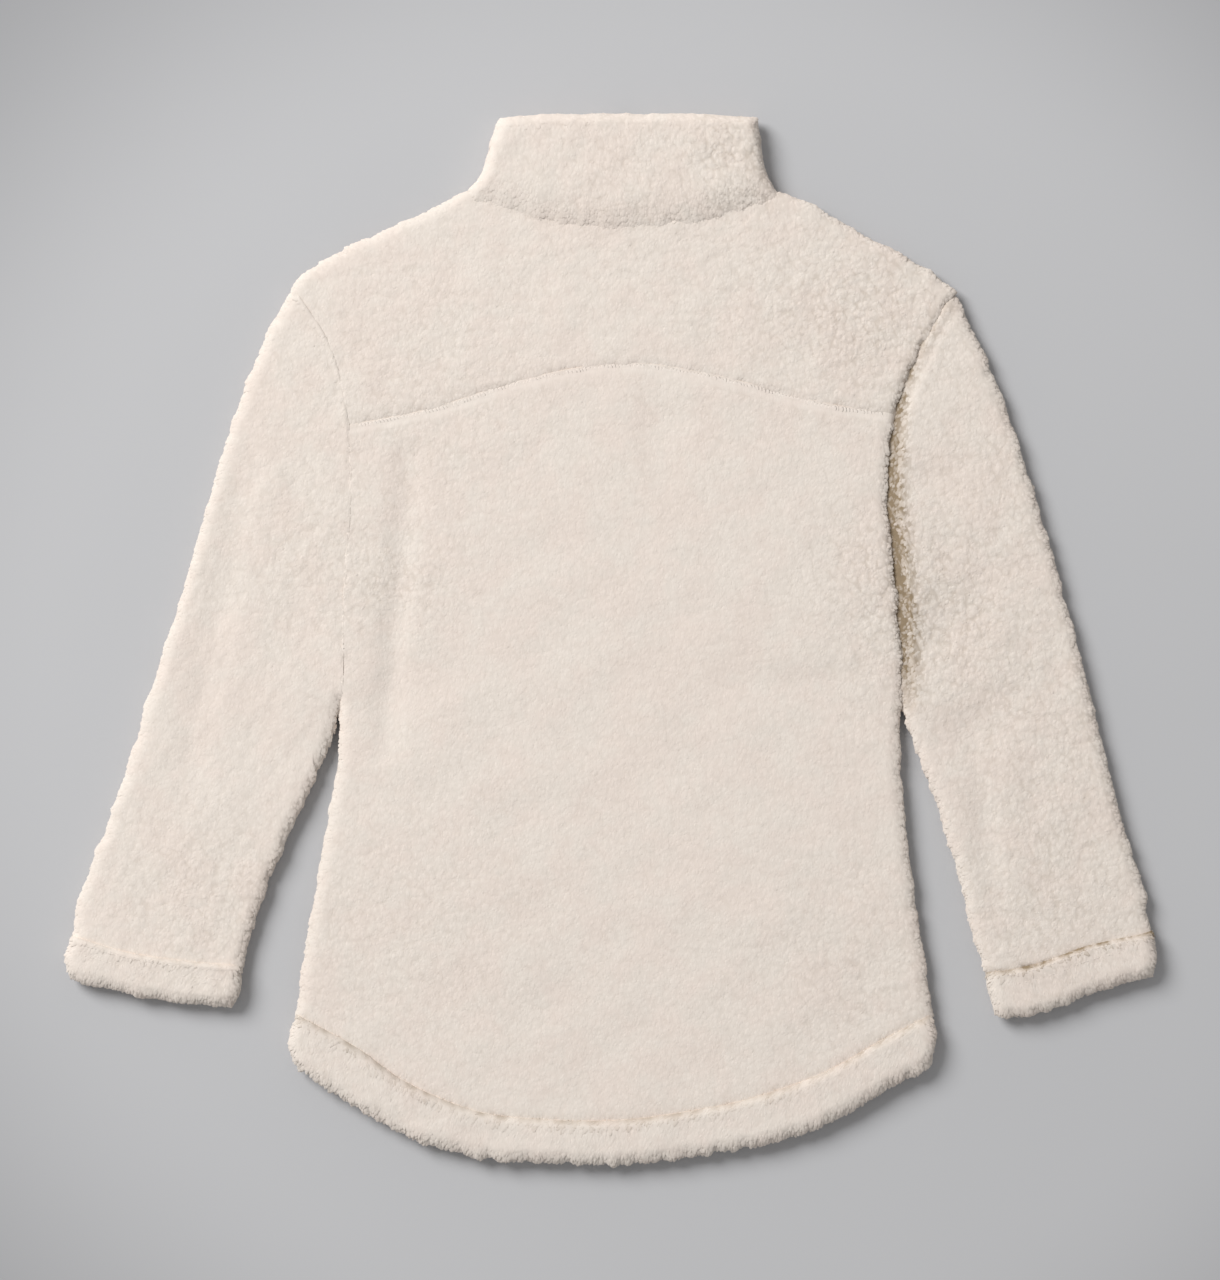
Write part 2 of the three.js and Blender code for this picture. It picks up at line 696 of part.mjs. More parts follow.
// The box that joins the foot of the two tapes
function zipBox() {
  const { halfWidth, rise } = ZIP_BOX;
  const [low, high] = [TEETH.low - rise, TEETH.high + rise];
  const [bottom, top] = [ZIP.bottom + CLEARANCE, ZIP.bottom + ZIP.box];
  return geometryOf(box(CENTRE_X - halfWidth, CENTRE_X + halfWidth, bottom, top, low, high));
}

// The stop above the slider, on the edge of one tape
function zipStop(side) {
  const sign = side === 'left' ? -1 : 1;
  const [near, far] = [CENTRE_X + sign * ZIP_STOP.inner, CENTRE_X + sign * TEETH.halfWidth];
  const bottom = ZIP.sliderY + SLIDER.halfLength + CLEARANCE;
  const top = bottom + ZIP_STOP.length;
  return geometryOf(box(Math.min(near, far), Math.max(near, far), bottom, top, TEETH.low, TEETH.high));
}

// Two plates joined by a wedge between the rows of teeth, with a bridge for the pull outside
function zipSlider() {
  const { halfWidth, halfLength, plate, wedge, wedgeHalf } = SLIDER;
  const [y, top] = [ZIP.sliderY, ZIP.sliderY + halfLength];
  const plateAt = (z) => box(CENTRE_X - halfWidth, CENTRE_X + halfWidth, y - halfLength, top, z, z + plate);
  const [wedgeLow, wedgeHigh] = [TEETH.low - BITE, TEETH.high + BITE];
  const wedgePost = box(CENTRE_X - wedgeHalf, CENTRE_X + wedgeHalf, top - wedge, top, wedgeLow, wedgeHigh);
  const { halfWidth: bridgeHalf, innerY, outerY, low, bar } = BRIDGE;
  const post = (sign) => {
    const [a, b] = [y + sign * innerY, y + sign * outerY];
    const [lowY, highY] = [Math.min(a, b), Math.max(a, b)];
    return box(CENTRE_X - bridgeHalf, CENTRE_X + bridgeHalf, lowY, highY, low, SLIDER_FACE + BITE);
  };
  const bridge = box(CENTRE_X - bridgeHalf, CENTRE_X + bridgeHalf, y - outerY, y + outerY, low, low + bar);
  const pieces = [plateAt(TEETH.high + CLEARANCE), wedgePost, post(-1), post(1), bridge];
  return geometryOf(pieces.reduce((sum, piece) => sum.add(piece), plateAt(SLIDER_FACE)));
}

// A flat tab whose pin turns under the slider's bridge. Its axis is the pin, along x.
function zipPull() {
  const { pinRadius, width, eyeWidth, eyeLength, length } = PULL;
  const outline = new THREE.Shape();
  const half = width / 2;
  outline.moveTo(-half, 0);
  outline.lineTo(-half, half - length);
  outline.absarc(0, half - length, half, Math.PI, 2 * Math.PI, false);
  outline.lineTo(half, 0);
  outline.closePath();
  const eye = new THREE.Path();
  const eyeHalf = eyeWidth / 2;
  eye.moveTo(-eyeHalf, EYE_OVERLAP - pinRadius);
  eye.lineTo(eyeHalf, EYE_OVERLAP - pinRadius);
  eye.lineTo(eyeHalf, -eyeLength);
  eye.lineTo(-eyeHalf, -eyeLength);
  eye.closePath();
  outline.holes.push(eye);
  const sweep = { depth: 2 * pinRadius, bevelEnabled: false, curveSegments: 10 };
  const tab = new THREE.ExtrudeGeometry(outline, sweep);
  tab.translate(0, 0, -pinRadius);
  const pin = new THREE.CylinderGeometry(pinRadius, pinRadius, width, 16);
  pin.rotateZ(Math.PI / 2);
  return geometryOf(solid(tab).add(solid(pin)));
}

// ---- The jacket ----------------------------------------------------------------------------------
function matte(name, color, roughness) {
  return new THREE.MeshStandardMaterial({ name, color, roughness, metalness: 0 });
}
const fleece = matte('fleece', 0xe5d9cd, 0.95);
const tapeCloth = matte('tape', 0xd9ccbd, 0.85);
const plastic = matte('plastic', 0xd6c9ba, 0.45);

const jacket = new THREE.Group();

function addPiece(name, geometry, material) {
  const mesh = new THREE.Mesh(geometry, material);
  mesh.name = name;
  jacket.add(mesh);
  return mesh;
}

addPiece('back_yoke', backYoke(), fleece);
addPiece('back_body', backBody(), fleece);
addPiece('collar', collar(), fleece);
addPiece('hem_band', hemBand(), fleece);
addPiece('zip_teeth', zipTeeth(), plastic);
addPiece('zip_box', zipBox(), plastic);
addPiece('zip_slider', zipSlider(), plastic);
for (const side of SIDES) {
  addPiece(`front_${side}`, frontPanel(side), fleece);
  addPiece(`sleeve_${side}`, sleeve(side), fleece);
  addPiece(`cuff_${side}`, cuff(side), fleece);
  addPiece(`zip_tape_${side}`, zipTape(side), tapeCloth);
  addPiece(`zip_stop_${side}`, zipStop(side), plastic);
}
const pull = addPiece('zip_pull', zipPull(), plastic);
pull.position.set(CENTRE_X, ZIP.sliderY, PIN_Z);

// Centre the jacket over the origin, with its front on z = 0
const bounds = new THREE.Box3().setFromObject(jacket);
jacket.position.set(-(bounds.min.x + bounds.max.x) / 2, -(bounds.min.y + bounds.max.y) / 2, -bounds.min.z);

export default jacket;
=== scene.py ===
"""A fleece jacket laid flat on its front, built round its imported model.

The outline tables and the heights of the layers are those of the part's own solids, in millimetres.
"""

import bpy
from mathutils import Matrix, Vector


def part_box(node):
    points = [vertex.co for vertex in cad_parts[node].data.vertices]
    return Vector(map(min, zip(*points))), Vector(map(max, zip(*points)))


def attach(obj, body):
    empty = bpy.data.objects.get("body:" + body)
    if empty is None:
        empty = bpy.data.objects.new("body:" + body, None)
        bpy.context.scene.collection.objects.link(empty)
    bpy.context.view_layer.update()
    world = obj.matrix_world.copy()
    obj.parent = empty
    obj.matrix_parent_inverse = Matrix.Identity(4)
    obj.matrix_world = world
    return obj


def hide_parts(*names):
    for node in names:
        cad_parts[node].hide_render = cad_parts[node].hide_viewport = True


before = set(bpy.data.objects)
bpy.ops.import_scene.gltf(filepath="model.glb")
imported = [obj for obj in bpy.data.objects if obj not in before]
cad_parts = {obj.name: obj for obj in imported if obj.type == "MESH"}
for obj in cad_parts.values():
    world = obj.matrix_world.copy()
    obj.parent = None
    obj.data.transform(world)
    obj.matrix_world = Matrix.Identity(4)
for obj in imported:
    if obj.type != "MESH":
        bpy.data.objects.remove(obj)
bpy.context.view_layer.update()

import math

import bmesh
import bpy
import numpy as np

bl_info = {
    "name": "Fleece jacket",
    "version": (1, 0, 0),
    "blender": (4, 5, 0),
    "location": "View3D > Sidebar > Jacket",
    "description": "Builds a high-pile fleece jacket that lies flat on its front",
    "category": "Object",
}

# ---- Sizes of the solids, in millimetres ----
MM = 0.001
BODY_LAYER = 6.9
COLLAR_LAYER = 9.6
HEM_LAYER = 8.7
CUFF_LAYER = 8.5
SLIT = 0.5  # between the two layers
CENTRE_X = 8.0  # the centre back and the zip
ZIP_TOP = 372.0
ZIP_OPENING = 11.0
TAPE_REACH = 14.8

TOP_Y = 252
UNDERARM_Y = -45
HEM_SIDE_Y = -270
YOKE_SIDE_Y = {"left": 154, "right": 163}

# Rows of x and y
SHOULDER = {
    "left": ((-230, TOP_Y), (-226, 259), (-201, 276), (-165, 293), (-130, 310), (-104, 323)),
    "right": ((120, 322), (146, 311), (172, 295), (209, 276), (236, 259), (245, TOP_Y)),
}
NECKLINE = ((-104, 323), (-50, 306), (CENTRE_X, 300), (66, 306), (120, 322))
YOKE_SEAM = (
    (-190, 154), (-131, 166), (-81, 182), (-38, 193), (CENTRE_X, 199), (60, 193), (106, 182),
    (157, 169), (201, 163),
)
HEM_SEAM = (
    (-228, -270), (-184, -294), (-150, -318), (-97, -340), (-45, -346), (CENTRE_X, -346),
    (60, -339), (98, -331), (150, -313), (197, -287), (230, -270),
)
HEM_EDGE = (
    (-227, -309), (-182, -338), (-139, -361), (-95, -373), (-45, -377), (CENTRE_X, -378),
    (77, -369), (121, -361), (164, -344), (207, -319), (230, -305),
)
COLLAR_TOP = ((-82, 375), (-40, 378), (CENTRE_X, 378), (60, 378), (104, 375))

# Rows of y and x
ARMHOLE = {
    "left": ((252, -230), (212, -204), (172, -193), (140, -189), (100, -189), (28, -193), (-45, -195)),
    "right": ((252, 245), (212, 222), (172, 204), (140, 198), (100, 196), (28, 203), (-45, 207)),
}
SIDE_SEAM = {
    "left": ((-45, -195), (-94, -198), (-180, -213), (-270, -228)),
    "right": ((-45, 207), (-94, 207), (-180, 216), (-270, 230)),
}
HEM_END = {
    "left": ((-270, -228), (-290, -233), (-309, -227)),
    "right": ((-270, 230), (-287, 233), (-305, 230)),
}
SLEEVE_OUTER = {
    "left": (
        (252, -230), (232, -242), (208, -254), (165, -271), (93, -293), (21, -314), (-51, -337),
        (-123, -360), (-181, -382), (-215, -390),
    ),
    "right": (
        (252, 245), (232, 255), (208, 267), (165, 284), (93, 308), (21, 328), (-51, 347),
        (-123, 365), (-181, 383), (-215, 389),
    ),
}
SLEEVE_INNER = {
    "left": ((-45, -195), (-80, -205), (-123, -225), (-166, -244), (-209, -260), (-240, -267)),
    "right": ((-45, 207), (-80, 219), (-123, 235), (-166, 248), (-209, 259), (-240, 269)),
}
COLLAR_END = {
    "left": ((375, -82), (355, -89), (340, -93), (323, -104)),
    "right": ((375, 104), (355, 107), (340, 110), (322, 120)),
}
CUFF_SEAM = {
    "left": ((-390, -214), (-349, -226), (-310, -232), (-267, -236)),
    "right": ((389, -210), (342, -220), (303, -234), (269, -240)),
}
CUFF_EDGE = {
    "left": ((-391, -245), (-335, -258), (-300, -263), (-274, -265)),
    "right": ((389, -243), (352, -252), (318, -266), (290, -272), (276, -270)),
}
CUFF_OUTER = {
    "left": ((-214, -390), (-230, -394), (-245, -391)),
    "right": ((-210, 389), (-227, 392), (-243, 389)),
}
CUFF_INNER = {
    "left": ((-236, -267), (-251, -268), (-265, -274)),
    "right": ((-240, 269), (-255, 271), (-270, 276)),
}

# Soft folds of the upper layers: from x, y to x, y, depth and width. A minus depth is a ridge.
FOLDS = (
    (214, 120, 238, 108, 1.6, 16),
    (216, -10, 262, 34, 1.5, 24),
    (232, -76, 300, -40, 1.2, 26),
    (-204, -12, -252, 40, 1.4, 24),
    (-222, -84, -286, -46, 1.1, 26),
    (-192, -58, -130, -20, 1.2, 30),
    (200, -66, 136, -30, 1.2, 30),
    (-150, -150, -60, -240, -1.0, 42),
    (60, -130, 150, -230, -1.0, 44),
    (-146, 130, -164, -80, 2.0, 15),
    (30, 178, 34, 110, 0.9, 22),
    (60, -32, 170, -26, 0.5, 14),
    (-262, 130, -304, -90, 1.4, 18),
    (258, -60, 276, -190, 1.4, 14),
)

LINE_POINTS = 240
WAVES = 14  # that make up an uneven surface
SEAM_ROLL, FOLD_ROLL = 5.0, 9.0  # how far a grid's points close up at a sewn edge and at a fold
NAP_TURN = math.radians(62)  # turns the nap, which runs down and to the left, onto the x axis
BRIGHT_CENTRE = (0.055, -0.04, 0.0)  # the middle of the floor's painted pool of light, in metres

BACK_FLOOR = BODY_LAYER + SLIT / 2
FRONT_EDGE = 4.7  # thickness of the fronts under the zip's tapes
SIDES = ("left", "right")

_teeth_low, _teeth_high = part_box("zip_teeth")
# Where the tables' own origin lies in the frame
ORIGIN = np.array(
    [(_teeth_low.x + _teeth_high.x) / 2 - CENTRE_X * MM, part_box("zip_tape_left")[1].y - ZIP_TOP * MM, 0.0]
)


# ---- Curves through the tables ----
def smooth(value, low=0.0, high=1.0):
    """0 below low, 1 above high and an easy rise between."""
    t = np.clip((value - low) / (high - low), 0, 1)
    return t * t * (3 - 2 * t)


def through(table, places):
    """The smooth curve through a table's rows of place and value, read at each place."""
    place, value = np.array(table, float).T
    if place[0] > place[-1]:
        place, value = place[::-1], value[::-1]
    slope = np.empty_like(value)
    slope[1:-1] = (value[2:] - value[:-2]) / (place[2:] - place[:-2])
    slope[0] = (value[1] - value[0]) / (place[1] - place[0])
    slope[-1] = (value[-1] - value[-2]) / (place[-1] - place[-2])
    after = np.clip(np.searchsorted(place, places), 1, len(place) - 1)
    span = place[after] - place[after - 1]
    t = np.clip((places - place[after - 1]) / span, 0, 1)
    eased = t * t * (3 - 2 * t)
    bend = t * (1 - t) ** 2 * slope[after - 1] - t * t * (1 - t) * slope[after]
    return value[after - 1] * (1 - eased) + value[after] * eased + bend * span


def across(table):
    """Points of a curve that runs across."""
    xs = np.linspace(table[0][0], table[-1][0], LINE_POINTS)
    return np.stack([xs, through(table, xs)], 1)


def down(table, start=None, end=None):
    """Points of a curve that runs down, or of its stretch between two heights."""
    start = table[0][0] if start is None else start
    ys = np.linspace(start, table[-1][0] if end is None else end, LINE_POINTS)
    return np.stack([through(table, ys), ys], 1)


def around(top, bottom, left, right):
    """What lies along the four sides of a piece: lines of points, or how its edges end."""
    return {"top": top, "bottom": bottom, "left": left, "right": right}


def join(*lines):
    """Several lines end to end."""
    return np.concatenate([lines[0], *[line[1:] for line in lines[1:]]])


def cut(line, x, keep):
    """The stretch of a line to the left or to the right of an x."""
    y = np.interp(x, line[:, 0], line[:, 1])
    if keep == "left":
        return np.vstack([line[line[:, 0] < x], [x, y]])
    return np.vstack([[x, y], line[line[:, 0] > x]])


def lengths(points, axis=0):
    """How far along its line each point lies."""
    steps = np.linalg.norm(np.diff(points, axis=axis), axis=-1)
    pad = [(0, 0)] * steps.ndim
    pad[axis] = (1, 0)
    return np.cumsum(np.pad(steps, pad), axis=axis)


def sample(line, fractions):
    """Points at fractions of a line's length."""
    along = lengths(line)
    return np.stack([np.interp(fractions * along[-1], along, line[:, k]) for k in range(line.shape[1])], 1)


def stations(length, step, start=0.0, end=0.0, turns=6):
    """Fractions of a length: even ones, and closer ones that round over the roll at each end."""
    turn = 1 - np.cos(np.linspace(0, math.pi / 2, turns + 1))
    count = max(2, round((length - start - end) / step) + 1)
    places = np.linspace(start, length - end, count)
    if start:
        places = np.concatenate([start * turn[:-1], places])
    if end:
        places = np.concatenate([places, length - end * turn[-2::-1]])
    return places / length


def fill(outline, across_at, down_at):
    """Grid of points that fills an outline's four lines. Rows run down and columns to the right."""
    top, bottom = sample(outline["top"], across_at), sample(outline["bottom"], across_at)
    left, right = sample(outline["left"], down_at), sample(outline["right"], down_at)
    u, v = across_at[None, :, None], down_at[:, None, None]
    corners = [outline[end][k] for end in ("top", "bottom") for k in (0, -1)]
    above, below = (corners[k] * (1 - u) + corners[k + 1] * u for k in (0, 2))
    between = left[:, None] * (1 - u) + right[:, None] * u + top[None] * (1 - v) + bottom[None] * v
    return between - (above * (1 - v) + below * v)


def waves(points, size, seed):
    """Soft uneven rise and fall over points, about 1 high, with bumps of a size."""
    chance = np.random.default_rng(seed)
    total = np.zeros(points.shape[:-1])
    for _ in range(WAVES):
        direction = chance.normal(size=points.shape[-1])
        direction /= np.linalg.norm(direction)
        turn = 2 * math.pi / (size * chance.uniform(0.6, 1.8))
        total += np.sin(points @ direction * turn + chance.uniform(0, 2 * math.pi))
    return total / math.sqrt(WAVES)


# ---- How a layer ends at its edges ----
# An edge loses dip of its height within roll, and low of it within wide. It is drawn out by reach,
# unevenly by rag. A ridge runs along it at wide, and up to there a stitched edge is bare of pile.
# Its painted shade, a brown darkening, runs along a sunk or overhung edge where real shade falls.
# Tuft is how loose its locks stand out.
USUAL_EDGE = {
    "dip": 0.3,
    "roll": 5.0,
    "reach": 0.0,
    "rag": 0.0,
    "low": 0.0,
    "wide": 7.0,
    "ridge": 0.0,
    "bare": 0.0,
    "brown": 0.0,
    "tuft": 0.0,
}


def edge(**values):
    """An edge that has some values other than the usual ones."""
    return {**USUAL_EDGE, **values}


FOLD = edge(dip=0.97, roll=9.0, reach=-0.8, rag=0.4)
PLAIN_SEAM = edge(roll=4.0)
ZIP_EDGE = edge(dip=0.4, roll=4.0)
RIDGE_WIDTH = 1.1
PATCH = 8.0  # size of the uneven patches of painted brown shade along an edge
SHORT_RAG, LONG_RAG = 11.0, 26.0  # sizes of the tufts that make an edge uneven


def change(first, second, along, place, spread=0.03):
    """An edge that turns from one kind into another at a place along it."""
    share = smooth(along, place - spread, place + spread)
    return {key: first[key] * (1 - share) + second[key] * share for key in USUAL_EDGE}


def spread_field(value, name):
    """An edge's value, which may vary along it, laid over the grid."""
    if np.ndim(value) == 0:
        return value
    return value[:, None] if name in ("left", "right") else value[None, :]


def away_from(line, points):
    """How far points lie from a line."""
    stride = max(1, len(line) // 90)
    rough = np.vstack([line[:-1:stride], line[-1]])
    nearest = np.full(points.shape[:-1], np.inf)
    for start, end in zip(rough, rough[1:]):
        run = end - start
        f = np.clip((points - start) @ run / max(run @ run, 1e-9), 0, 1)
        nearest = np.minimum(nearest, np.linalg.norm(points - start - f[..., None] * run, axis=-1))
    return nearest


def outward_from(line, inner):
    """The direction out of a piece at each point of its border, given the next line inside."""
    along = np.gradient(line, axis=0)
    square = np.stack([-along[:, 1], along[:, 0]], 1)
    square /= np.maximum(np.linalg.norm(square, axis=1, keepdims=True), 1e-9)
    return square * np.sign(np.sum(square * (line - inner), 1, keepdims=True) + 1e-12)


def relief(grid, edges, seed=1):
    """How a layer ends at its edges, over a grid: a table of values, each at every point.

    keep is the share of its height left, ridge the height of its ridges, shift how far it is drawn
    out, bare how bare of pile it is, the painted brown shade how dark it is made along sunk edges, and
    loose and comb how its locks lie.
    """
    borders = {
        "left": (grid[:, 0], grid[:, 1]),
        "right": (grid[:, -1], grid[:, -2]),
        "top": (grid[0], grid[1]),
        "bottom": (grid[-1], grid[-2]),
    }
    plain = np.zeros(grid.shape[:2])
    made = {key: plain.copy() for key in ("ridge", "bare", "brown", "loose")}
    made.update(keep=plain + 1, shift=np.zeros_like(grid), comb=np.zeros_like(grid))
    for name, values in edges.items():
        line, inner = borders[name]
        away, outward = away_from(line, grid), outward_from(line, inner)
        outward = outward[:, None] if name in SIDES else outward[None]
        at = {key: spread_field(value, name) for key, value in values.items()}
        near = 1 - np.minimum(away / at["roll"], 1)
        strip = 1 - smooth(away, at["wide"], at["wide"] * 1.5)
        # A fold is round, and a sewn edge only slopes down
        fold = smooth(at["dip"], 0.6, 0.9)
        fall = fold * (1 - np.sqrt(1 - near * near)) + (1 - fold) * near * near
        made["keep"] *= (1 - at["dip"] * fall) * (1 - at["low"] * strip)
        made["ridge"] += at["ridge"] * np.exp(-(((away - at["wide"]) / RIDGE_WIDTH) ** 2))
        made["bare"] = np.maximum(made["bare"], strip * at["bare"])
        # Painted shade: brown darkening along a sunk or overhung edge, patchy along it and fading away from
        # it
        patchy = spread_field(np.clip(1 + 0.55 * waves(line, PATCH, seed + 3), 0.25, 1.6), name)
        edge_shade = at["brown"] * patchy * (1 - smooth(away, 0, np.maximum(at["roll"], at["wide"] * 1.4)))
        made["brown"] = np.maximum(made["brown"], edge_shade)
        outermost = 1 - smooth(away, at["roll"] * 0.5, at["roll"] * 1.3)
        made["loose"] = np.maximum(made["loose"], at["tuft"] * outermost)
        uneven = [waves(line, size, seed + more) for size, more in ((SHORT_RAG, len(name)), (LONG_RAG, 9))]
        pull = spread_field(sum(uneven) * 0.5, name) * at["rag"] + at["reach"]
        made["shift"] += (pull * smooth(1 - away / (2.2 * at["roll"])))[..., None] * outward
        made["comb"] += (outermost * smooth(at["tuft"], 0, 0.2))[..., None] * outward
    return made


def folds_at(points):
    """How deep the soft folds run at each point."""
    total = np.zeros(points.shape[:-1])
    for from_x, from_y, to_x, to_y, depth, width in FOLDS:
        start, run = np.array([from_x, from_y]), np.array([to_x - from_x, to_y - from_y])
        f = np.clip((points - start) @ run / (run @ run), 0, 1)
        away = np.linalg.norm(points - start - f[..., None] * run, axis=-1) / width
        total += depth * np.exp(-2 * away * away) * np.sin(math.pi * (0.2 + 0.6 * f))
    return total


# How strongly the pile parts into curls: x, y, reach and strength, over a little everywhere
CURLS = (
    (90, 352, 34, 0.9),
    (0, 345, 60, 0.35),
    (190, 235, 62, 0.75),
    (110, 250, 90, 0.25),
    (190, 60, 40, 0.35),
    (225, 20, 60, 0.8),
    (290, 120, 70, 0.45),
    (330, -60, 90, 0.5),
    (320, -190, 70, 0.5),
    (-150, 40, 34, 0.45),
    (-215, 60, 60, 0.3),
    (-290, -190, 60, 0.45),
    (-140, 190, 80, 0.3),
    (180, -240, 70, 0.3),
    (-150, -200, 90, 0.2),
)
LEAST_CURL, MOST_CURL = 0.1, 1.2


def curls_at(points):
    """How strongly the pile parts into curls at each point."""
    total = np.full(points.shape[:-1], LEAST_CURL)
    for x, y, reach, strength in CURLS:
        away = np.linalg.norm(points - np.array([x, y]), axis=-1) / reach
        total += strength * np.exp(-away * away)
    return np.minimum(total, MOST_CURL)


# ---- Meshes ----
def in_scene(name, data):
    """An object in the scene that holds a mesh, a light or a camera."""
    made = bpy.data.objects.new(name, data)
    bpy.context.scene.collection.objects.link(made)
    return made


def quads_of(rows, columns, start=0, closed_down=False, closed_across=False):
    """Four-sided faces over a grid of points, whose upper side is its outside."""
    j = np.arange(rows if closed_down else rows - 1)[:, None]
    i = np.arange(columns if closed_across else columns - 1)[None]
    below, right = (j + 1) % rows, (i + 1) % columns
    corners = (j * columns + i, below * columns + i, below * columns + right, j * columns + right)
    spread = [np.broadcast_to(corner, (j.size, i.size)) for corner in corners]
    return start + np.stack(spread, -1).reshape(-1, 4)


def zip_up(first, second, first_at, second_at, flip=False):
    """Triangles between two lines of points that run side by side, whatever their counts."""
    i, k, faces = 0, 0, []
    while i < len(first) - 1 or k < len(second) - 1:
        ahead = first_at[i + 1] if i < len(first) - 1 else math.inf
        other = second_at[k + 1] if k < len(second) - 1 else math.inf
        if ahead <= other:
            faces.append((first[i], first[i + 1], second[k]))
            i += 1
        else:
            faces.append((first[i], second[k + 1], second[k]))
            k += 1
    faces = np.array(faces)
    return faces[:, ::-1] if flip else faces


def volume(points, faces):
    """Six times the volume inside a closed mesh, less than 0 where its faces point inwards."""
    first = points[faces[:, 0]]
    fan = ((points[faces[:, k]], points[faces[:, k + 1]]) for k in range(1, faces.shape[1] - 1))
    return sum(np.sum(first * np.cross(second, third)) for second, third in fan)


def new_mesh(name, points, quads, triangles=None, values=None):
    """A smooth mesh from points in millimetres of the tables, with values at its points."""
    parts = [part for part in (quads, triangles) if part is not None and len(part)]
    if sum(volume(points, part) for part in parts) < 0:
        parts = [part[:, ::-1] for part in parts]
    mesh = bpy.data.meshes.new(name)
    mesh.vertices.add(len(points))
    mesh.vertices.foreach_set("co", (points * MM + ORIGIN).astype(np.float32).ravel())
    sizes = np.concatenate([np.full(len(part), part.shape[1]) for part in parts])
    corners = np.concatenate([part.ravel() for part in parts])
    mesh.loops.add(len(corners))
    mesh.loops.foreach_set("vertex_index", corners.astype(np.int32))
    mesh.polygons.add(len(sizes))
    mesh.polygons.foreach_set("loop_start", np.concatenate([[0], np.cumsum(sizes)[:-1]]).astype(np.int32))
    for key, value in (values or {}).items():
        data = mesh.attributes.new(key, "FLOAT", "POINT").data
        data.foreach_set("value", np.asarray(value, np.float32).ravel())
    mesh.update(calc_edges=True)
    mesh.validate()
    mesh.shade_smooth()
    return in_scene(name, mesh)


UNSEEN = {"pile": 0.25}  # what the values are where no pile is laid
COARSE_STEP = 9.0  # between the points of the hidden side of a back panel
FRONT_STEP, FRONT_TOP_STEP = 6.0, 12.0  # between the points of a front, below and above
SHOULDER_SHARE = 0.54  # of a front's top line, which runs on along the neck
STEP_SLOPE = 0.5  # over which a front steps down under its tape


def pillow(name, upper, lower, values):
    """A closed layer between an upper grid of points and a coarser lower one."""
    points = np.concatenate([upper.reshape(-1, 3), lower.reshape(-1, 3)])
    rows, columns = upper.shape[:2]
    few_rows, few_columns = lower.shape[:2]
    fine = np.arange(rows * columns).reshape(rows, columns)
    coarse = rows * columns + np.arange(few_rows * few_columns).reshape(few_rows, few_columns)
    quads = np.concatenate(
        [quads_of(rows, columns), quads_of(few_rows, few_columns, rows * columns)[:, ::-1]]
    )
    walls = []
    for border in (np.s_[0], np.s_[:, -1], np.s_[-1, ::-1], np.s_[::-1, 0]):
        lines = fine[border], coarse[border]
        places = [lengths(points[line]) for line in lines]
        walls.append(zip_up(*lines, *[place / place[-1] for place in places]))
    padded = {
        key: np.concatenate([value.ravel(), np.full(lower[..., 0].size, UNSEEN.get(key, 0.0))])
        for key, value in values.items()
    }
    return new_mesh(name, points, quads, np.concatenate(walls), padded)


def flat(points, height):
    """Points in the plane with a height."""
    return np.concatenate([points, np.broadcast_to(height, points.shape[:2])[..., None]], -1)


def sizes_of(outline):
    """About how wide and how long an outline is."""
    width = max(lengths(outline[key])[-1] for key in ("top", "bottom"))
    length = max(lengths(outline[key])[-1] for key in ("left", "right"))
    return width, length


LUMPS = ((42.0, 0.2), (17.0, 0.12))  # of every upper surface: their size and height


def upper_side(grid, edges, floor, depth, seed):
    """The upper surface of a layer with its pile's curls, and the values at its points."""
    made = relief(grid, edges, seed)
    lumps = sum(high * waves(grid, size, seed + k) for k, (size, high) in enumerate(LUMPS))
    height = floor + (depth - folds_at(grid) + lumps) * made["keep"] + made["ridge"]
    values = {
        "pile": curls_at(grid) * (1 - 0.85 * made["bare"]),
        # shade carries the edges' painted brown shade to the material
        "shade": made["brown"],
        "cover": 1 - made["bare"],
        "loose": made["loose"],
        "comb_x": made["comb"][..., 0],
        "comb_y": made["comb"][..., 1],
    }
    return flat(grid + made["shift"], height), values


def back_panel(name, outline, rolls, step, seed):
    """A back panel: flat below and rounded over above. rolls gives each edge for its fractions."""
    width, length = sizes_of(outline)
    across_at, down_at = (stations(size, step, SEAM_ROLL, SEAM_ROLL) for size in (width, length))
    grid = fill(outline, across_at, down_at)
    upper, values = upper_side(grid, rolls(across_at, down_at), BACK_FLOOR, BODY_LAYER - SLIT / 2, seed)
    coarse = fill(outline, stations(width, COARSE_STEP), stations(length, COARSE_STEP))
    return pillow(name, upper, flat(coarse, BACK_FLOOR), values), upper


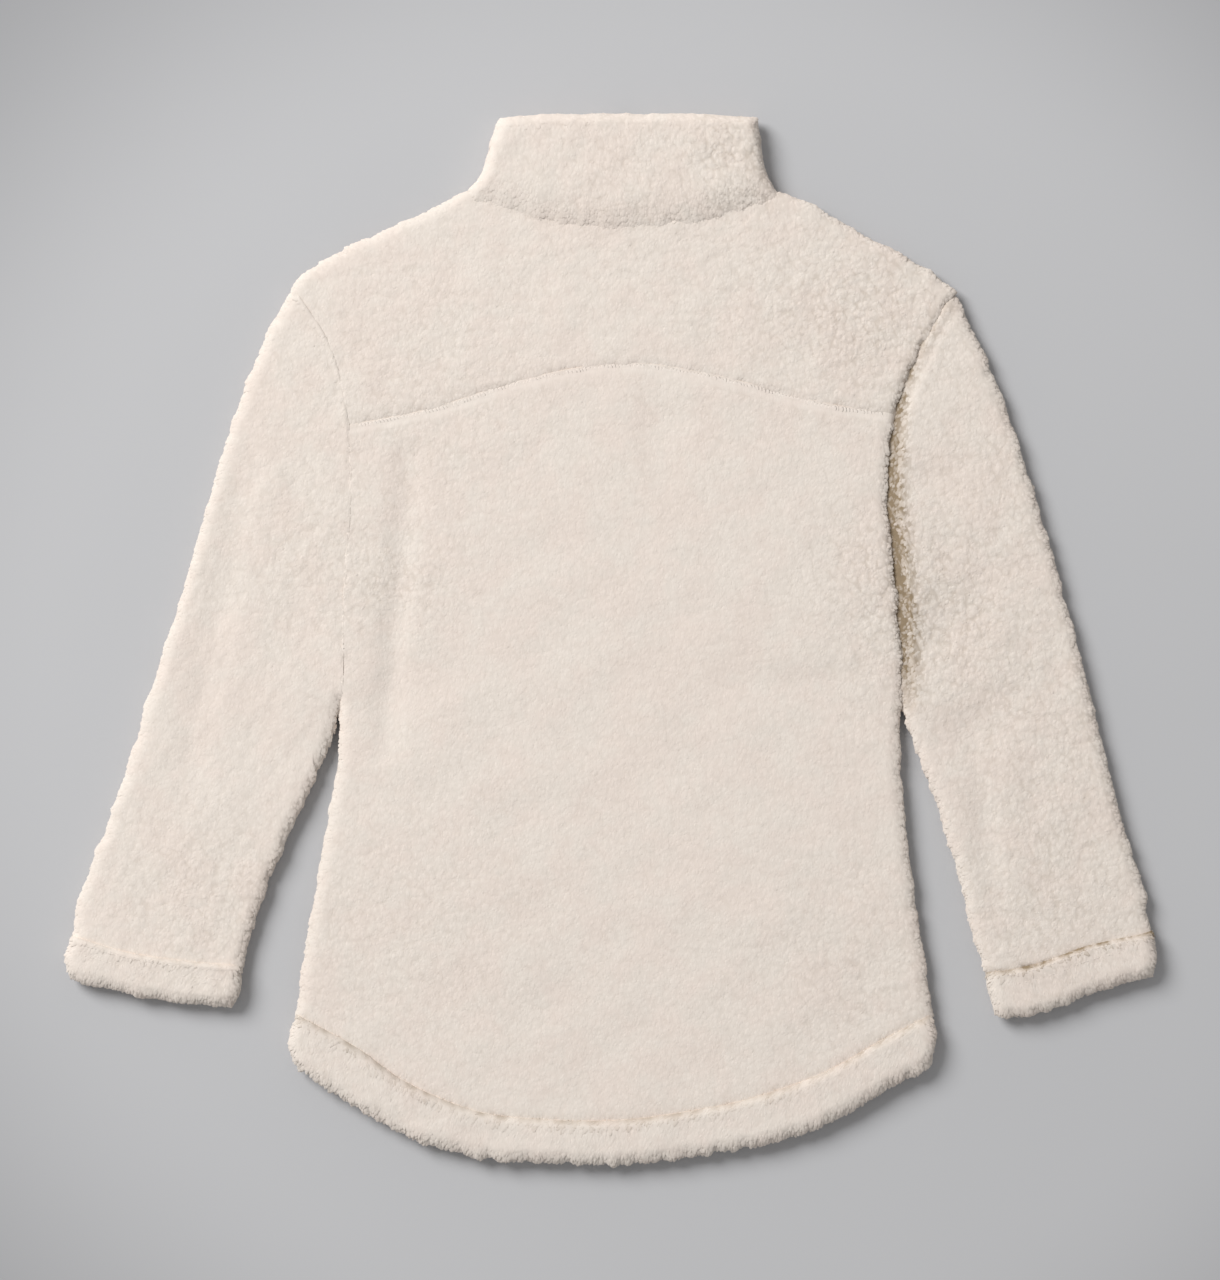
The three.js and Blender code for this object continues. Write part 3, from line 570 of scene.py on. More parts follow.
def front_panel(name, side):
    """A front: flat above, where the back lies on it, and rounded under at its outer edges.

    Its edge along the zip is turned back thinner, and the tape lies on it.
    """
    outline = cut_outline(FRONT, side)
    width, length = sizes_of(outline)
    across_at = stations(width, FRONT_STEP, FOLD_ROLL, FOLD_ROLL, 3)
    down_at = stations(length, FRONT_STEP, SEAM_ROLL, FOLD_ROLL, 3)
    underarm = (TOP_Y - UNDERARM_Y) / (TOP_Y - HEM_SIDE_Y)
    if side == "left":
        shoulder = change(FOLD, PLAIN_SEAM, across_at, SHOULDER_SHARE)
    else:
        shoulder = change(PLAIN_SEAM, FOLD, across_at, 1 - SHOULDER_SHARE)
    edges = {
        "top": shoulder,
        "bottom": PLAIN_SEAM,
        side: change(PLAIN_SEAM, FOLD, down_at, underarm),
        "right" if side == "left" else "left": ZIP_EDGE,
    }
    grid = fill(outline, across_at, down_at)
    made = relief(grid, edges, 71)
    ceiling = BODY_LAYER - SLIT / 2
    under = flat(grid + made["shift"], ceiling * (1 - made["keep"]))
    # Above, columns of points run down on both sides of the step at the tape
    rows_at = stations(length, FRONT_TOP_STEP)
    wide_at = stations(width, FRONT_TOP_STEP) * (1 - 2 * TAPE_REACH / width)
    wide_at = wide_at if side == "left" else 1 - wide_at[::-1]
    columns = list(np.moveaxis(fill(outline, wide_at, rows_at), 1, 0))
    heights = [ceiling] * len(columns)
    step = ((TAPE_REACH + STEP_SLOPE, ceiling), (TAPE_REACH, FRONT_EDGE), (ZIP_OPENING / 2, FRONT_EDGE))
    for reach, height in step:
        x = CENTRE_X + (-reach if side == "left" else reach)
        top, bottom = (np.array([x, np.interp(x, *outline[end].T)]) for end in ("top", "bottom"))
        place = len(columns) if side == "left" else 0
        columns.insert(place, top + (bottom - top) * rows_at[:, None])
        heights.insert(place, height)
    above = flat(np.stack(columns, 1), np.broadcast_to(heights, (len(rows_at), len(heights))))
    plain = np.zeros(grid.shape[:2])
    return pillow(name, under, above, {"pile": plain + 0.4, "shade": plain, "cover": plain})


# The slit inside a tube: how far it is inset, in layers, the step of its points and how it ends
SLIT_INSET, SLIT_STEP, SLIT_END = 0.6, 14, 0.04


def tube(name, outline, rolls, layer, steps, seed, opening=False):
    """A tube of fleece pressed flat, of two layers with a slit between them.

    It is one grid that runs round the tube, along it outside and back inside. A tube with an
    opening is parted below at the zip, as a band or collar is.
    """
    width, length = sizes_of(outline)
    fine, along_step, coarse = steps
    across_at = stations(width, fine, FOLD_ROLL, FOLD_ROLL)
    down_at = stations(length, along_step, SEAM_ROLL, SEAM_ROLL)
    inset = SLIT_INSET * layer / length
    back_at = np.linspace(1 - inset, inset, max(3, round(length / SLIT_STEP)))
    grid = fill(outline, across_at, down_at)
    top, values = upper_side(grid, rolls(across_at, down_at), layer, layer, seed)
    share = layer / width
    inner_at = share + across_at * (1 - 2 * share)
    rise = SLIT / 2 * smooth(np.minimum(across_at, 1 - across_at), 0, SLIT_END)
    inner_top = flat(fill(outline, inner_at, back_at), layer + rise[None])
    outer, inner = [top], [inner_top]
    below = [cut_outline(outline, side) for side in SIDES] if opening else [outline]
    for part, half in zip(SIDES if opening else ("whole",), below):
        part_width = sizes_of(half)[0]
        under_at = stations(part_width, coarse, FOLD_ROLL, FOLD_ROLL, 3)
        under_grid = fill(half, under_at, down_at)
        made = relief(under_grid, under_edges(rolls(under_at, down_at), part), seed)
        under = flat(under_grid + made["shift"], layer * (1 - made["keep"]))
        near = layer / part_width
        low, high = (near if part != "right" else 0.0), (1 - near if part != "left" else 1.0)
        inside_at = low + under_at * (high - low)
        from_end = np.minimum(under_at if part != "right" else 1, 1 - under_at if part != "left" else 1)
        fall = SLIT / 2 * smooth(from_end, 0, SLIT_END)
        inside = flat(fill(half, inside_at, back_at), layer - fall[None])
        if part == "whole":
            outer.append(under[:, -2:0:-1])
            inner.append(inside[:, -2:0:-1])
        elif part == "left":
            outer.insert(0, under[:, :0:-1])
            inner.insert(0, inside[:, :0:-1])
        else:
            outer.append(under[:, -2::-1])
            inner.append(inside[:, -2::-1])
    before = outer[0].shape[1] if opening else 0
    outer, inner = np.concatenate(outer, 1), np.concatenate(inner, 1)
    rows = np.concatenate([outer, lip(outer[-1], inner[0]), inner, lip(inner[-1], outer[0], True)])
    count, columns = rows.shape[:2]
    quads = quads_of(count, columns, 0, True, not opening)
    caps = []
    if opening:
        index = np.arange(count * columns).reshape(count, columns)
        far = len(outer)
        for column, flip in ((0, True), (columns - 1, False)):
            lines = index[:far, column], index[far:, column][::-1]
            caps.append(zip_up(*lines, *[np.linspace(0, 1, len(line)) for line in lines], flip))
    spread = {}
    for key, value in values.items():
        whole = np.full((count, columns), UNSEEN.get(key, 0.0))
        whole[:len(outer), before:before + value.shape[1]] = value
        spread[key] = whole.ravel()
    caps = np.concatenate(caps) if caps else None
    return new_mesh(name, rows.reshape(-1, 3), quads, caps, spread), top


LIP_TURNS = 4


def lip(outside, inside, backwards=False):
    """Rows that round the end of a layer between its outer and its inner side."""
    if backwards:
        return lip(inside, outside)[::-1]
    rows = []
    for angle in np.linspace(0, math.pi / 2, LIP_TURNS + 1)[1:-1]:
        plan = inside[:, :2] + (outside[:, :2] - inside[:, :2]) * math.cos(angle)
        height = outside[:, 2] + (inside[:, 2] - outside[:, 2]) * math.sin(angle)
        rows.append(np.column_stack([plan, height]))
    return np.array(rows)


def cut_outline(outline, side):
    """The part of an outline on one side of the zip's opening."""
    x = CENTRE_X + (-1 if side == "left" else 1) * ZIP_OPENING / 2
    top, bottom = cut(outline["top"], x, side), cut(outline["bottom"], x, side)
    end = -1 if side == "left" else 0
    middle = np.linspace(top[end], bottom[end], LINE_POINTS)
    if side == "left":
        return around(top, bottom, outline["left"], middle)
    return around(top, bottom, middle, outline["right"])


def under_edges(edges, part):
    """The edges of a tube's lower layer, which has no raised strip or ridge."""
    plain = {name: dict(values, low=0.0, ridge=0.0) for name, values in edges.items()}
    if part == "left":
        plain["right"] = ZIP_EDGE
    if part == "right":
        plain["left"] = ZIP_EDGE
    return plain


# ---- Outlines of the cloth pieces ----
NECK_FROM, NECK_TO = 0.27, 0.73  # where the neck lies along the yoke's top line
TOP_LINE = join(across(SHOULDER["left"]), across(NECKLINE), across(SHOULDER["right"]))
# Both paint a faint brown shade along the seam under the yoke's lip
LIP = edge(dip=0.17, roll=6.5, reach=1.0, rag=1.3, wide=3.0, brown=0.05, tuft=0.5)
STRIP = edge(dip=0.04, roll=2.6, low=0.06, wide=5.0, ridge=0.25, bare=1.0, brown=0.1)


def body_side(side, top):
    """A side of the body: its armhole from a height down to the underarm, then its side seam."""
    return join(down(ARMHOLE[side], top, UNDERARM_Y), down(SIDE_SEAM[side]))


def tube_outline(side, top, edge_line, outer, inner):
    """The outline of a sleeve or a cuff, from tables that have a row for each side."""
    return around(top, across(edge_line[side]), down(outer[side]), down(inner[side]))


YOKE = around(
    TOP_LINE, across(YOKE_SEAM), *[down(ARMHOLE[side], TOP_Y, YOKE_SIDE_Y[side]) for side in SIDES]
)
BODY = around(
    across(YOKE_SEAM), across(HEM_SEAM), *[body_side(side, YOKE_SIDE_Y[side]) for side in SIDES]
)
FRONT = around(TOP_LINE, across(HEM_SEAM), *[body_side(side, TOP_Y) for side in SIDES])
HEM = around(across(HEM_SEAM), across(HEM_EDGE), *[down(HEM_END[side]) for side in SIDES])
COLLAR = around(across(COLLAR_TOP), across(NECKLINE), *[down(COLLAR_END[side]) for side in SIDES])
SLEEVE = {
    side: tube_outline(side, down(ARMHOLE[side]), CUFF_SEAM, SLEEVE_OUTER, SLEEVE_INNER) for side in SIDES
}
CUFF = {
    side: tube_outline(side, across(CUFF_SEAM[side]), CUFF_EDGE, CUFF_OUTER, CUFF_INNER) for side in SIDES
}


def yoke_rolls(across_at, down_at):
    """The yoke's edges: shoulders and neck, ragged below, over the right sleeve but flush at the left."""
    fold = edge(dip=0.97, roll=8.0, reach=0.8, rag=1.0, tuft=0.45)
    # neck, level and over paint faint brown shade where the collar and the yoke's edge overhang
    neck = edge(dip=0.0, roll=3.0, wide=6.0, brown=0.04)
    shoulders = change(change(fold, neck, across_at, NECK_FROM), fold, across_at, NECK_TO)
    left = edge(dip=0.0, roll=3.5, reach=0.6)
    level = edge(dip=0.3, roll=4.0, reach=1.2, rag=1.3, brown=0.1, tuft=0.6)
    over = edge(dip=0.85, roll=5.0, reach=2.0, rag=1.5, brown=0.1, tuft=0.7)
    right = change(level, over, down_at, 0.6, 0.35)
    return around(shoulders, LIP, left, right)


def body_rolls(across_at, down_at):
    """The body's edges: a stitched strip under the yoke, a lip over the hem band."""
    underarm = {side: (YOKE_SIDE_Y[side] - UNDERARM_Y) / (YOKE_SIDE_Y[side] - HEM_SIDE_Y) for side in SIDES}
    fold = edge(dip=0.97, roll=9.0, reach=0.8, rag=1.1, tuft=0.4)
    faint = edge(dip=0.0, roll=4.0, reach=0.6)
    over = edge(dip=0.85, roll=5.5, reach=2.0, rag=1.6, tuft=0.7)
    left = change(faint, fold, down_at, underarm["left"])
    right = change(over, fold, down_at, underarm["right"])
    return around(STRIP, LIP, left, right)


def sleeve_rolls(side):
    """A sleeve's edges: pressed down under the body at the armhole, with painted shade in the sunk strip
    there, and a lip over the cuff.
    """
    folds = edge(dip=1.0, roll=9.0, rag=1.0, tuft=0.45)
    ragged = edge(dip=0.6, roll=4.0, reach=1.6, rag=1.2, tuft=0.6)
    level_end = edge(dip=0.2, roll=4.0, reach=0.8, rag=0.5, tuft=0.2)
    ridged = edge(dip=0.02, roll=3.0, reach=0.7, ridge=0.5, wide=1.2)
    flush = edge(dip=0.0, roll=3.0, reach=0.7)
    # level, deep and last paint brown shade into the sunk strip at the armhole, darkest under the body's
    # edge
    level = edge(dip=0.3, roll=4.0, low=0.1, wide=9.0, brown=0.2)
    deep = edge(dip=0.8, roll=24.0, low=0.3, wide=8.0, brown=1.15)
    last = edge(dip=0.5, roll=16.0, low=0.1, wide=8.0, brown=0.3)

    def rolls(across_at, down_at):
        left = change(ridged, flush, across_at, 0.42, 0.15)
        right = change(change(level, deep, across_at, 0.24, 0.16), last, across_at, 0.88, 0.12)
        top = left if side == "left" else right
        bottom = level_end if side == "left" else ragged
        return around(top, bottom, folds, folds)

    return rolls


def cuff_rolls(side):
    """A cuff's edges: at the sleeve a ridge at the left and a sunk seam with painted dark shade at the
    right, round at the hand.
    """
    folds = edge(dip=1.0, roll=8.5, rag=0.7, tuft=0.4)
    hand = edge(dip=0.65, roll=9.0, rag=1.2, tuft=0.35)
    # Both seams at the sleeve are painted with brown shade, the right one strongly
    ridged = edge(dip=0.2, roll=3.0, reach=0.6, wide=2.4, ridge=0.6, brown=0.1)
    shaded_seam = edge(dip=0.55, roll=4.5, wide=2.6, ridge=0.2, brown=0.75)

    def rolls(across_at, down_at):
        return around(ridged if side == "left" else shaded_seam, hand, folds, folds)

    return rolls


def hem_rolls(across_at, down_at):
    """The hem band's edges: a stitched strip at the body, painted with brown shade along its crease, and a
    full round edge below.
    """
    folds = edge(dip=1.0, roll=8.5, rag=0.8, tuft=0.4)
    top = edge(dip=0.36, roll=5.0, wide=2.0, brown=0.33)
    bottom = edge(dip=0.65, roll=10.0, rag=1.5, tuft=0.45)
    return around(top, bottom, folds, folds)


def collar_rolls(across_at, down_at):
    """The collar's edges: round above, and a full lip over the neckline."""
    folds = edge(dip=1.0, roll=9.0, rag=0.8, tuft=0.25)
    bottom = edge(dip=0.58, roll=24.0, reach=4.0, rag=1.6, tuft=0.55)
    top = edge(dip=0.55, roll=7.0, rag=0.5, tuft=0.1)
    return around(top, bottom, folds, folds)


# ---- Node trees ----
class Number:
    """A socket that carries numbers, so that its maths is written as an expression."""

    def __init__(self, tree, socket):
        self.tree, self.socket = tree, socket

    def _maths(self, operation, *values, clamp=False):
        settings = {"operation": operation, "use_clamp": clamp}
        return self.tree.number("ShaderNodeMath", settings, dict(enumerate(values)))

    def __add__(self, other):
        return self._maths("ADD", self, other)

    __radd__ = __add__

    def __sub__(self, other):
        return self._maths("SUBTRACT", self, other)

    def __rsub__(self, other):
        return self._maths("SUBTRACT", other, self)

    def __mul__(self, other):
        return self._maths("MULTIPLY", self, other)

    __rmul__ = __mul__

    def maths(self, operation, *others):
        """Another function of the value, such as its sine or whether it is less than another."""
        return self._maths(operation, self, *others)

    def clamped(self):
        """The value, kept from 0 to 1."""
        return self._maths("ADD", self, 0.0, clamp=True)

    def eased(self, low, high):
        """0 below low, 1 above high and an easy rise between."""
        settings = {"interpolation_type": "SMOOTHSTEP"}
        return self.tree.number("ShaderNodeMapRange", settings, {0: self, 1: low, 2: high}, 0)


def socket_called(sockets, key):
    """The socket in use that has an identifier or a name."""
    return next(s for s in sockets if key in (s.identifier, s.name) and s.enabled)


class Nodes:
    """A node tree under construction."""

    def __init__(self, tree):
        self.tree = tree

    def node(self, kind, settings=None, inputs=None):
        """A new node: its settings are set first, then the values or links of its sockets."""
        node = self.tree.nodes.new(kind)
        for key, value in (settings or {}).items():
            setattr(node, key, value)
        for key, value in (inputs or {}).items():
            socket = node.inputs[key] if isinstance(key, int) else socket_called(node.inputs, key)
            if isinstance(value, Number):
                value = value.socket
            if isinstance(value, bpy.types.NodeSocket):
                self.tree.links.new(value, socket)
            else:
                socket.default_value = value
        return node

    def number(self, kind, settings, inputs, output=0):
        """A new node's output, as a number."""
        return Number(self, self.node(kind, settings, inputs).outputs[output])

    def colour(self, factor, first, second, blend="MIX"):
        """A mix of two colours."""
        settings = {"data_type": "RGBA", "blend_type": blend, "clamp_factor": True}
        inputs = {"Factor_Float": factor, "A_Color": first, "B_Color": second}
        node = self.node("ShaderNodeMix", settings, inputs)
        return socket_called(node.outputs, "Result_Color")

    def vector(self, operation, *values, **named_values):
        """Maths on vectors."""
        inputs = {**dict(enumerate(values)), **named_values}
        return self.node("ShaderNodeVectorMath", {"operation": operation}, inputs).outputs[0]

    def scaled(self, vector, factor):
        """A vector times a number."""
        return self.vector("SCALE", vector, Scale=factor)

    def noise(self, place, size, detail=2.0, roughness=0.5):
        """Soft noise over a place, with features of a size in metres."""
        inputs = {"Vector": place, "Scale": 1 / size, "Detail": detail, "Roughness": roughness}
        return self.node("ShaderNodeTexNoise", {}, inputs)

    def cloud(self, place, size, detail=2.0, roughness=0.5):
        """That noise as a number from 0 to 1."""
        return Number(self, self.noise(place, size, detail, roughness).outputs[0])

    def drift(self, place, size, detail, reach):
        """A soft shift in every direction over a place, as far as reach from side to side."""
        centred = self.vector("SUBTRACT", self.noise(place, size, detail).outputs["Color"], (0.5, 0.5, 0.5))
        return self.vector("MULTIPLY", centred, reach)

    def bump(self, strength, distance, height):
        """A normal that a height in metres of distance has moved."""
        inputs = {"Strength": strength, "Distance": distance, "Height": height}
        return self.node("ShaderNodeBump", {}, inputs).outputs[0]


def nap_frame(nodes, place, stretch):
    """A place turned so that its x runs along the nap, and drawn out along it."""
    turned = nodes.node(
        "ShaderNodeVectorRotate", {"rotation_type": "Z_AXIS"}, {"Vector": place, "Angle": NAP_TURN}
    ).outputs[0]
    return nodes.vector("MULTIPLY", turned, (stretch, 1.0, 1.0))


def swirled(nodes, place, size, reach):
    """A place moved about softly, which curls a pattern that is read there."""
    return nodes.vector("ADD", place, nodes.drift(place, size, 1.0, (reach, reach, reach)))


def geometry_tree(name, inputs):
    """A Geometry Nodes tree with a geometry and named inputs. Returns its nodes and its inputs."""
    tree = bpy.data.node_groups.new(name, "GeometryNodeTree")
    tree.interface.new_socket("Geometry", in_out="INPUT", socket_type="NodeSocketGeometry")
    for key, (kind, default) in inputs.items():
        socket = tree.interface.new_socket(key, in_out="INPUT", socket_type=kind)
        if default is not None:
            socket.default_value = default
    tree.interface.new_socket("Geometry", in_out="OUTPUT", socket_type="NodeSocketGeometry")
    nodes = Nodes(tree)
    return nodes, nodes.node("NodeGroupInput").outputs


def finish_tree(nodes, geometry, material):
    """Ends a tree in real, smooth geometry with a material."""
    real = nodes.node("GeometryNodeRealizeInstances", {}, {0: geometry}).outputs[0]
    even = nodes.node("GeometryNodeSetShadeSmooth", {}, {"Geometry": real, "Shade Smooth": True}).outputs[0]
    done = nodes.node("GeometryNodeSetMaterial", {}, {"Geometry": even, "Material": material}).outputs[0]
    nodes.node("NodeGroupOutput", {}, {0: done})


def named(nodes, key, kind="FLOAT"):
    """A value of the points, by name."""
    return nodes.node("GeometryNodeInputNamedAttribute", {"data_type": kind}, {"Name": key}).outputs[0]


def named_number(nodes, key):
    """A number of the points, by name."""
    return Number(nodes, named(nodes, key))


def keep_as(nodes, geometry, key, value, kind="FLOAT", domain="POINT"):
    """The geometry with a value kept at its points or instances under a name."""
    settings = {"data_type": kind, "domain": domain}
    inputs = {0: geometry, "Name": key, "Value": value}
    return nodes.node("GeometryNodeStoreNamedAttribute", settings, inputs).outputs[0]


def cloth_tree():
    """The tree that gives a piece of cloth its soft uneven surface."""
    inputs = {"Unevenness": ("NodeSocketFloat", 0.0008), "Material": ("NodeSocketMaterial", None)}
    nodes, given = geometry_tree("Fleece cloth", inputs)
    place = nodes.node("GeometryNodeInputPosition").outputs[0]
    kept = keep_as(nodes, given["Geometry"], "place", place, "FLOAT_VECTOR")
    kept = keep_as(nodes, kept, "cloth", nodes.node("GeometryNodeInputNormal").outputs[0], "FLOAT_VECTOR")
    rise = (nodes.cloud(place, 0.011, 1.0) - 0.5) * (0.3 + named_number(nodes, "pile"))
    normal = nodes.node("GeometryNodeInputNormal").outputs[0]
    offset = nodes.scaled(normal, rise * Number(nodes, given["Unevenness"]))
    moved = nodes.node("GeometryNodeSetPosition", {}, {"Geometry": kept, "Offset": offset}).outputs[0]
    finish_tree(nodes, moved, given["Material"])
    return nodes.tree


def combine(nodes, x, y, z):
    """A vector from three numbers."""
    return nodes.node("ShaderNodeCombineXYZ", {}, {0: x, 1: y, 2: z}).outputs[0]


def turned_to(nodes, upright, along):
    """The turn that stands a thing upright and points its length along a direction."""
    settings = {"primary_axis": "Z", "secondary_axis": "X"}
    return nodes.node("FunctionNodeAxesToRotation", settings, {0: upright, 1: along}).outputs[0]


def instances(nodes, points, thing, turn, size):
    """A thing at each point, turned and sized."""
    inputs = {"Points": points, "Instance": thing, "Rotation": turn, "Scale": size}
    return nodes.node("GeometryNodeInstanceOnPoints", {}, inputs).outputs[0]


def chance(nodes, low, high, seed):
    """A random number for each point."""
    node = nodes.node("FunctionNodeRandomValue", {}, {"Min": low, "Max": high, "Seed": seed})
    return Number(nodes, socket_called(node.outputs, "Value"))


MOST_LOCKS = 600000.0  # on a square metre, before their spacing thins them


def locks_tree():
    """The tree that covers cloth with locks of pile, which lean along the nap and overlap."""
    inputs = {
        "Lock": ("NodeSocketObject", None),
        "Spacing": ("NodeSocketFloat", 0.0016),
        "Length": ("NodeSocketFloat", 0.0064),
        "Width": ("NodeSocketFloat", 0.0044),
        "Height": ("NodeSocketFloat", 0.0010),
        "Lowest": ("NodeSocketFloat", -1.0),
        "Highest": ("NodeSocketFloat", 1.0),
        "Nap": ("NodeSocketFloat", NAP_TURN - math.pi),
        "Loose": ("NodeSocketFloat", 0.12),
        "Seed": ("NodeSocketInt", 0),
        "Material": ("NodeSocketMaterial", None),
    }
    nodes, given = geometry_tree("Fleece locks", inputs)
    place = nodes.node("GeometryNodeInputPosition").outputs[0]
    y = nodes.number("ShaderNodeSeparateXYZ", {}, {0: place}, 1)
    above = y.maths("GREATER_THAN", Number(nodes, given["Lowest"]))
    inside = above * y.maths("LESS_THAN", Number(nodes, given["Highest"]))
    # Of the places for locks, an even cloth fills two thirds and a loose edge fills all
    cover = named_number(nodes, "cover") * (0.65 + 0.35 * named_number(nodes, "loose"))
    scatter = nodes.node(
        "GeometryNodeDistributePointsOnFaces",
        {"distribute_method": "POISSON"},
        {
            "Mesh": given["Geometry"],
            "Selection": inside,
            "Distance Min": given["Spacing"],
            "Density Max": MOST_LOCKS,
            "Density Factor": cover,
            "Seed": given["Seed"],
        },
    )
    normal = scatter.outputs["Normal"]
    strength = named_number(nodes, "pile")
    swing = (nodes.cloud(place, 0.02) - 0.5) * (1.2 + 2.4 * strength)
    stray = swing + chance(nodes, -0.5, 0.5, 3) * (0.5 + 1.6 * strength)
    angle = stray + Number(nodes, given["Nap"])
    comb = [named_number(nodes, key) * 1.8 for key in ("comb_x", "comb_y")]
    nap = combine(nodes, angle.maths("COSINE") + comb[0], angle.maths("SINE") + comb[1], 0.0)
    # Locks at the top of a rounded edge are free and stand out over it. The ones below lie on it.
    upward = nodes.number("ShaderNodeSeparateXYZ", {}, {0: normal}, 2).clamped()
    free = named_number(nodes, "loose") * upward.eased(0.15, 0.5)
    raised = nodes.vector("ADD", normal, combine(nodes, 0.0, 0.0, free * 0.4))
    side = nodes.vector("NORMALIZE", nodes.vector("CROSS_PRODUCT", raised, nap))
    along = nodes.vector("CROSS_PRODUCT", side, raised)
    turn = turned_to(nodes, raised, along)
    size = chance(nodes, 0.7, 1.25, 5) * (0.5 + 0.5 * upward)
    height = Number(nodes, given["Height"]) * (0.3 + 0.25 * strength) * chance(nodes, 0.6, 1.4, 7)
    length = Number(nodes, given["Length"]) * size * (1 - 0.15 * strength) * (1 - 0.4 * free)
    width = Number(nodes, given["Width"]) * size * chance(nodes, 0.8, 1.2, 6) * (1 - 0.3 * free)
    lock = nodes.node("GeometryNodeObjectInfo", {}, {"Object": given["Lock"]}).outputs["Geometry"]
    points = keep_as(nodes, keep_as(nodes, scatter.outputs["Points"], "height", height), "free", free)
    each = instances(nodes, points, lock, turn, combine(nodes, length, width, height))
    toned = keep_as(nodes, each, "tone", chance(nodes, 0.0, 1.0, 8), "FLOAT", "INSTANCE")
    real = nodes.node("GeometryNodeRealizeInstances", {}, {0: toned}).outputs[0]
    drift = nodes.drift(place, 0.0035, 1.0, (0.0024, 0.0024, 0.0003))
    curled = nodes.node("GeometryNodeSetPosition", {}, {"Geometry": real, "Offset": drift}).outputs[0]
    # The locks are laid along the cloth, down to how loose they are
    below = nodes.node("GeometryNodeProximity", {"target_element": "FACES"}, {0: given["Geometry"]})
    facing = nodes.node(
        "GeometryNodeSampleNearestSurface",
        {"data_type": "FLOAT_VECTOR"},
        {"Mesh": given["Geometry"], "Value": named(nodes, "cloth", "FLOAT_VECTOR")},
    ).outputs["Value"]
    free = named_number(nodes, "free")
    facing = nodes.vector("NORMALIZE", nodes.vector("ADD", facing, combine(nodes, 0.0, 0.0, free * 2.0)))
    lift = nodes.scaled(facing, named_number(nodes, "rise") * named_number(nodes, "height"))
    laid = nodes.vector("ADD", below.outputs["Position"], lift)
    loose = free + Number(nodes, given["Loose"])
    inputs = {"Factor_Float": loose, "A_Vector": laid, "B_Vector": place}
    mixed = nodes.node("ShaderNodeMix", {"data_type": "VECTOR"}, inputs)
    between = {"Geometry": curled, "Position": socket_called(mixed.outputs, "Result_Vector")}
    set_down = nodes.node("GeometryNodeSetPosition", {}, between).outputs[0]
    kept = keep_as(nodes, set_down, "cloth", facing, "FLOAT_VECTOR")
    finish_tree(nodes, keep_as(nodes, kept, "place", place, "FLOAT_VECTOR"), given["Material"])
    return nodes.tree


# Corners of a lock that is 1 long, 1 wide and 1 high. All but its crown lie below the cloth.
LOCK_POINTS = (
    (-0.1, 0.0, -0.7),
    (0.45, -0.5, -0.5),
    (0.42, 0.0, 1.0),
    (0.45, 0.5, -0.5),
    (0.95, -0.17, -0.25),
    (0.95, 0.17, -0.25),
)
LOCK_FACES = ((0, 1, 2), (0, 2, 3), (1, 4, 2), (4, 5, 2), (5, 3, 2), (0, 3, 1), (1, 3, 5), (1, 5, 4))
LOCK_TIPS = (0.0, 0.0, 1.0, 0.0, 0.3, 0.3)


def repeated(name, points, faces):
    """A closed mesh that a node tree repeats, with its faces outwards. It isn't shown itself."""
    corners = np.array(points)
    if sum(volume(corners, np.array([face])) for face in faces) < 0:
        faces = [face[::-1] for face in faces]
    mesh = bpy.data.meshes.new(name)
    mesh.from_pydata(corners.tolist(), [], [tuple(int(k) for k in face) for face in faces])
    return bpy.data.objects.new(name, mesh)


def lock_object():
    """One lock of pile. Its rim is sharp, so that only the faces above it shade it."""
    lock = repeated("lock", LOCK_POINTS, LOCK_FACES)
    sharp = lock.data.attributes.new("sharp_edge", "BOOLEAN", "EDGE").data
    sharp.foreach_set("value", [2 not in tuple(line.vertices) for line in lock.data.edges])
    for key, values in (("tip", LOCK_TIPS), ("rise", [z for _, _, z in LOCK_POINTS])):
        lock.data.attributes.new(key, "FLOAT", "POINT").data.foreach_set("value", values)
    return lock


RIB_RINGS, RIB_SIDES = 3, 8


def rib_object():
    """A soft lump 1 long, 1 wide and 1 high, such as a stitch or a rib of a seam."""
    points = [(0.0, 0.0, -0.5)]
    for ring in range(1, RIB_RINGS + 1):
        polar = math.pi * ring / (RIB_RINGS + 1)
        for turn in range(RIB_SIDES):
            round_at = 2 * math.pi * turn / RIB_SIDES
            reach = math.sin(polar) / 2
            points.append((reach * math.cos(round_at), reach * math.sin(round_at), -math.cos(polar) / 2))
    points.append((0.0, 0.0, 0.5))
    last, faces = len(points) - 1, []
    for i in range(RIB_SIDES):
        n = (i + 1) % RIB_SIDES
        faces.append((0, 1 + n, 1 + i))
        for ring in range(RIB_RINGS - 1):
            below, above = 1 + RIB_SIDES * ring, 1 + RIB_SIDES * (ring + 1)
            faces.append((below + i, below + n, above + n, above + i))
        faces.append((last, last - RIB_SIDES + i, last - RIB_SIDES + n))
    return repeated("rib", points, faces)


# A tooth from its root past the zip's centre to its head: across, half its length and half its height
TOOTH = ((1.15, 0.16, 0.38), (1.1, 0.22, 0.45), (0.0, 0.27, 0.46), (-0.2, 0.2, 0.36))


def teeth_object():
    """Two teeth of a zip, one from each tape, for a pitch of 1."""
    points, faces = [], []
    for sign, place in ((-1, 0.0), (1, 0.5)):
        start = len(points)
        for reach, half_length, half_height in TOOTH:
            for j, k in ((-1, -1), (1, -1), (1, 1), (-1, 1)):
                points.append((place + j * half_length, sign * reach, k * half_height))
        for ring in range(len(TOOTH) - 1):
            near, far = start + 4 * ring, start + 4 * ring + 4
            faces += [(near + k, near + (k + 1) % 4, far + (k + 1) % 4, far + k)[::sign] for k in range(4)]
        faces.append(tuple(start + k for k in (3, 2, 1, 0))[::sign])
        faces.append(tuple(start + 4 * (len(TOOTH) - 1) + k for k in range(4))[::sign])
    return repeated("teeth", points, faces)


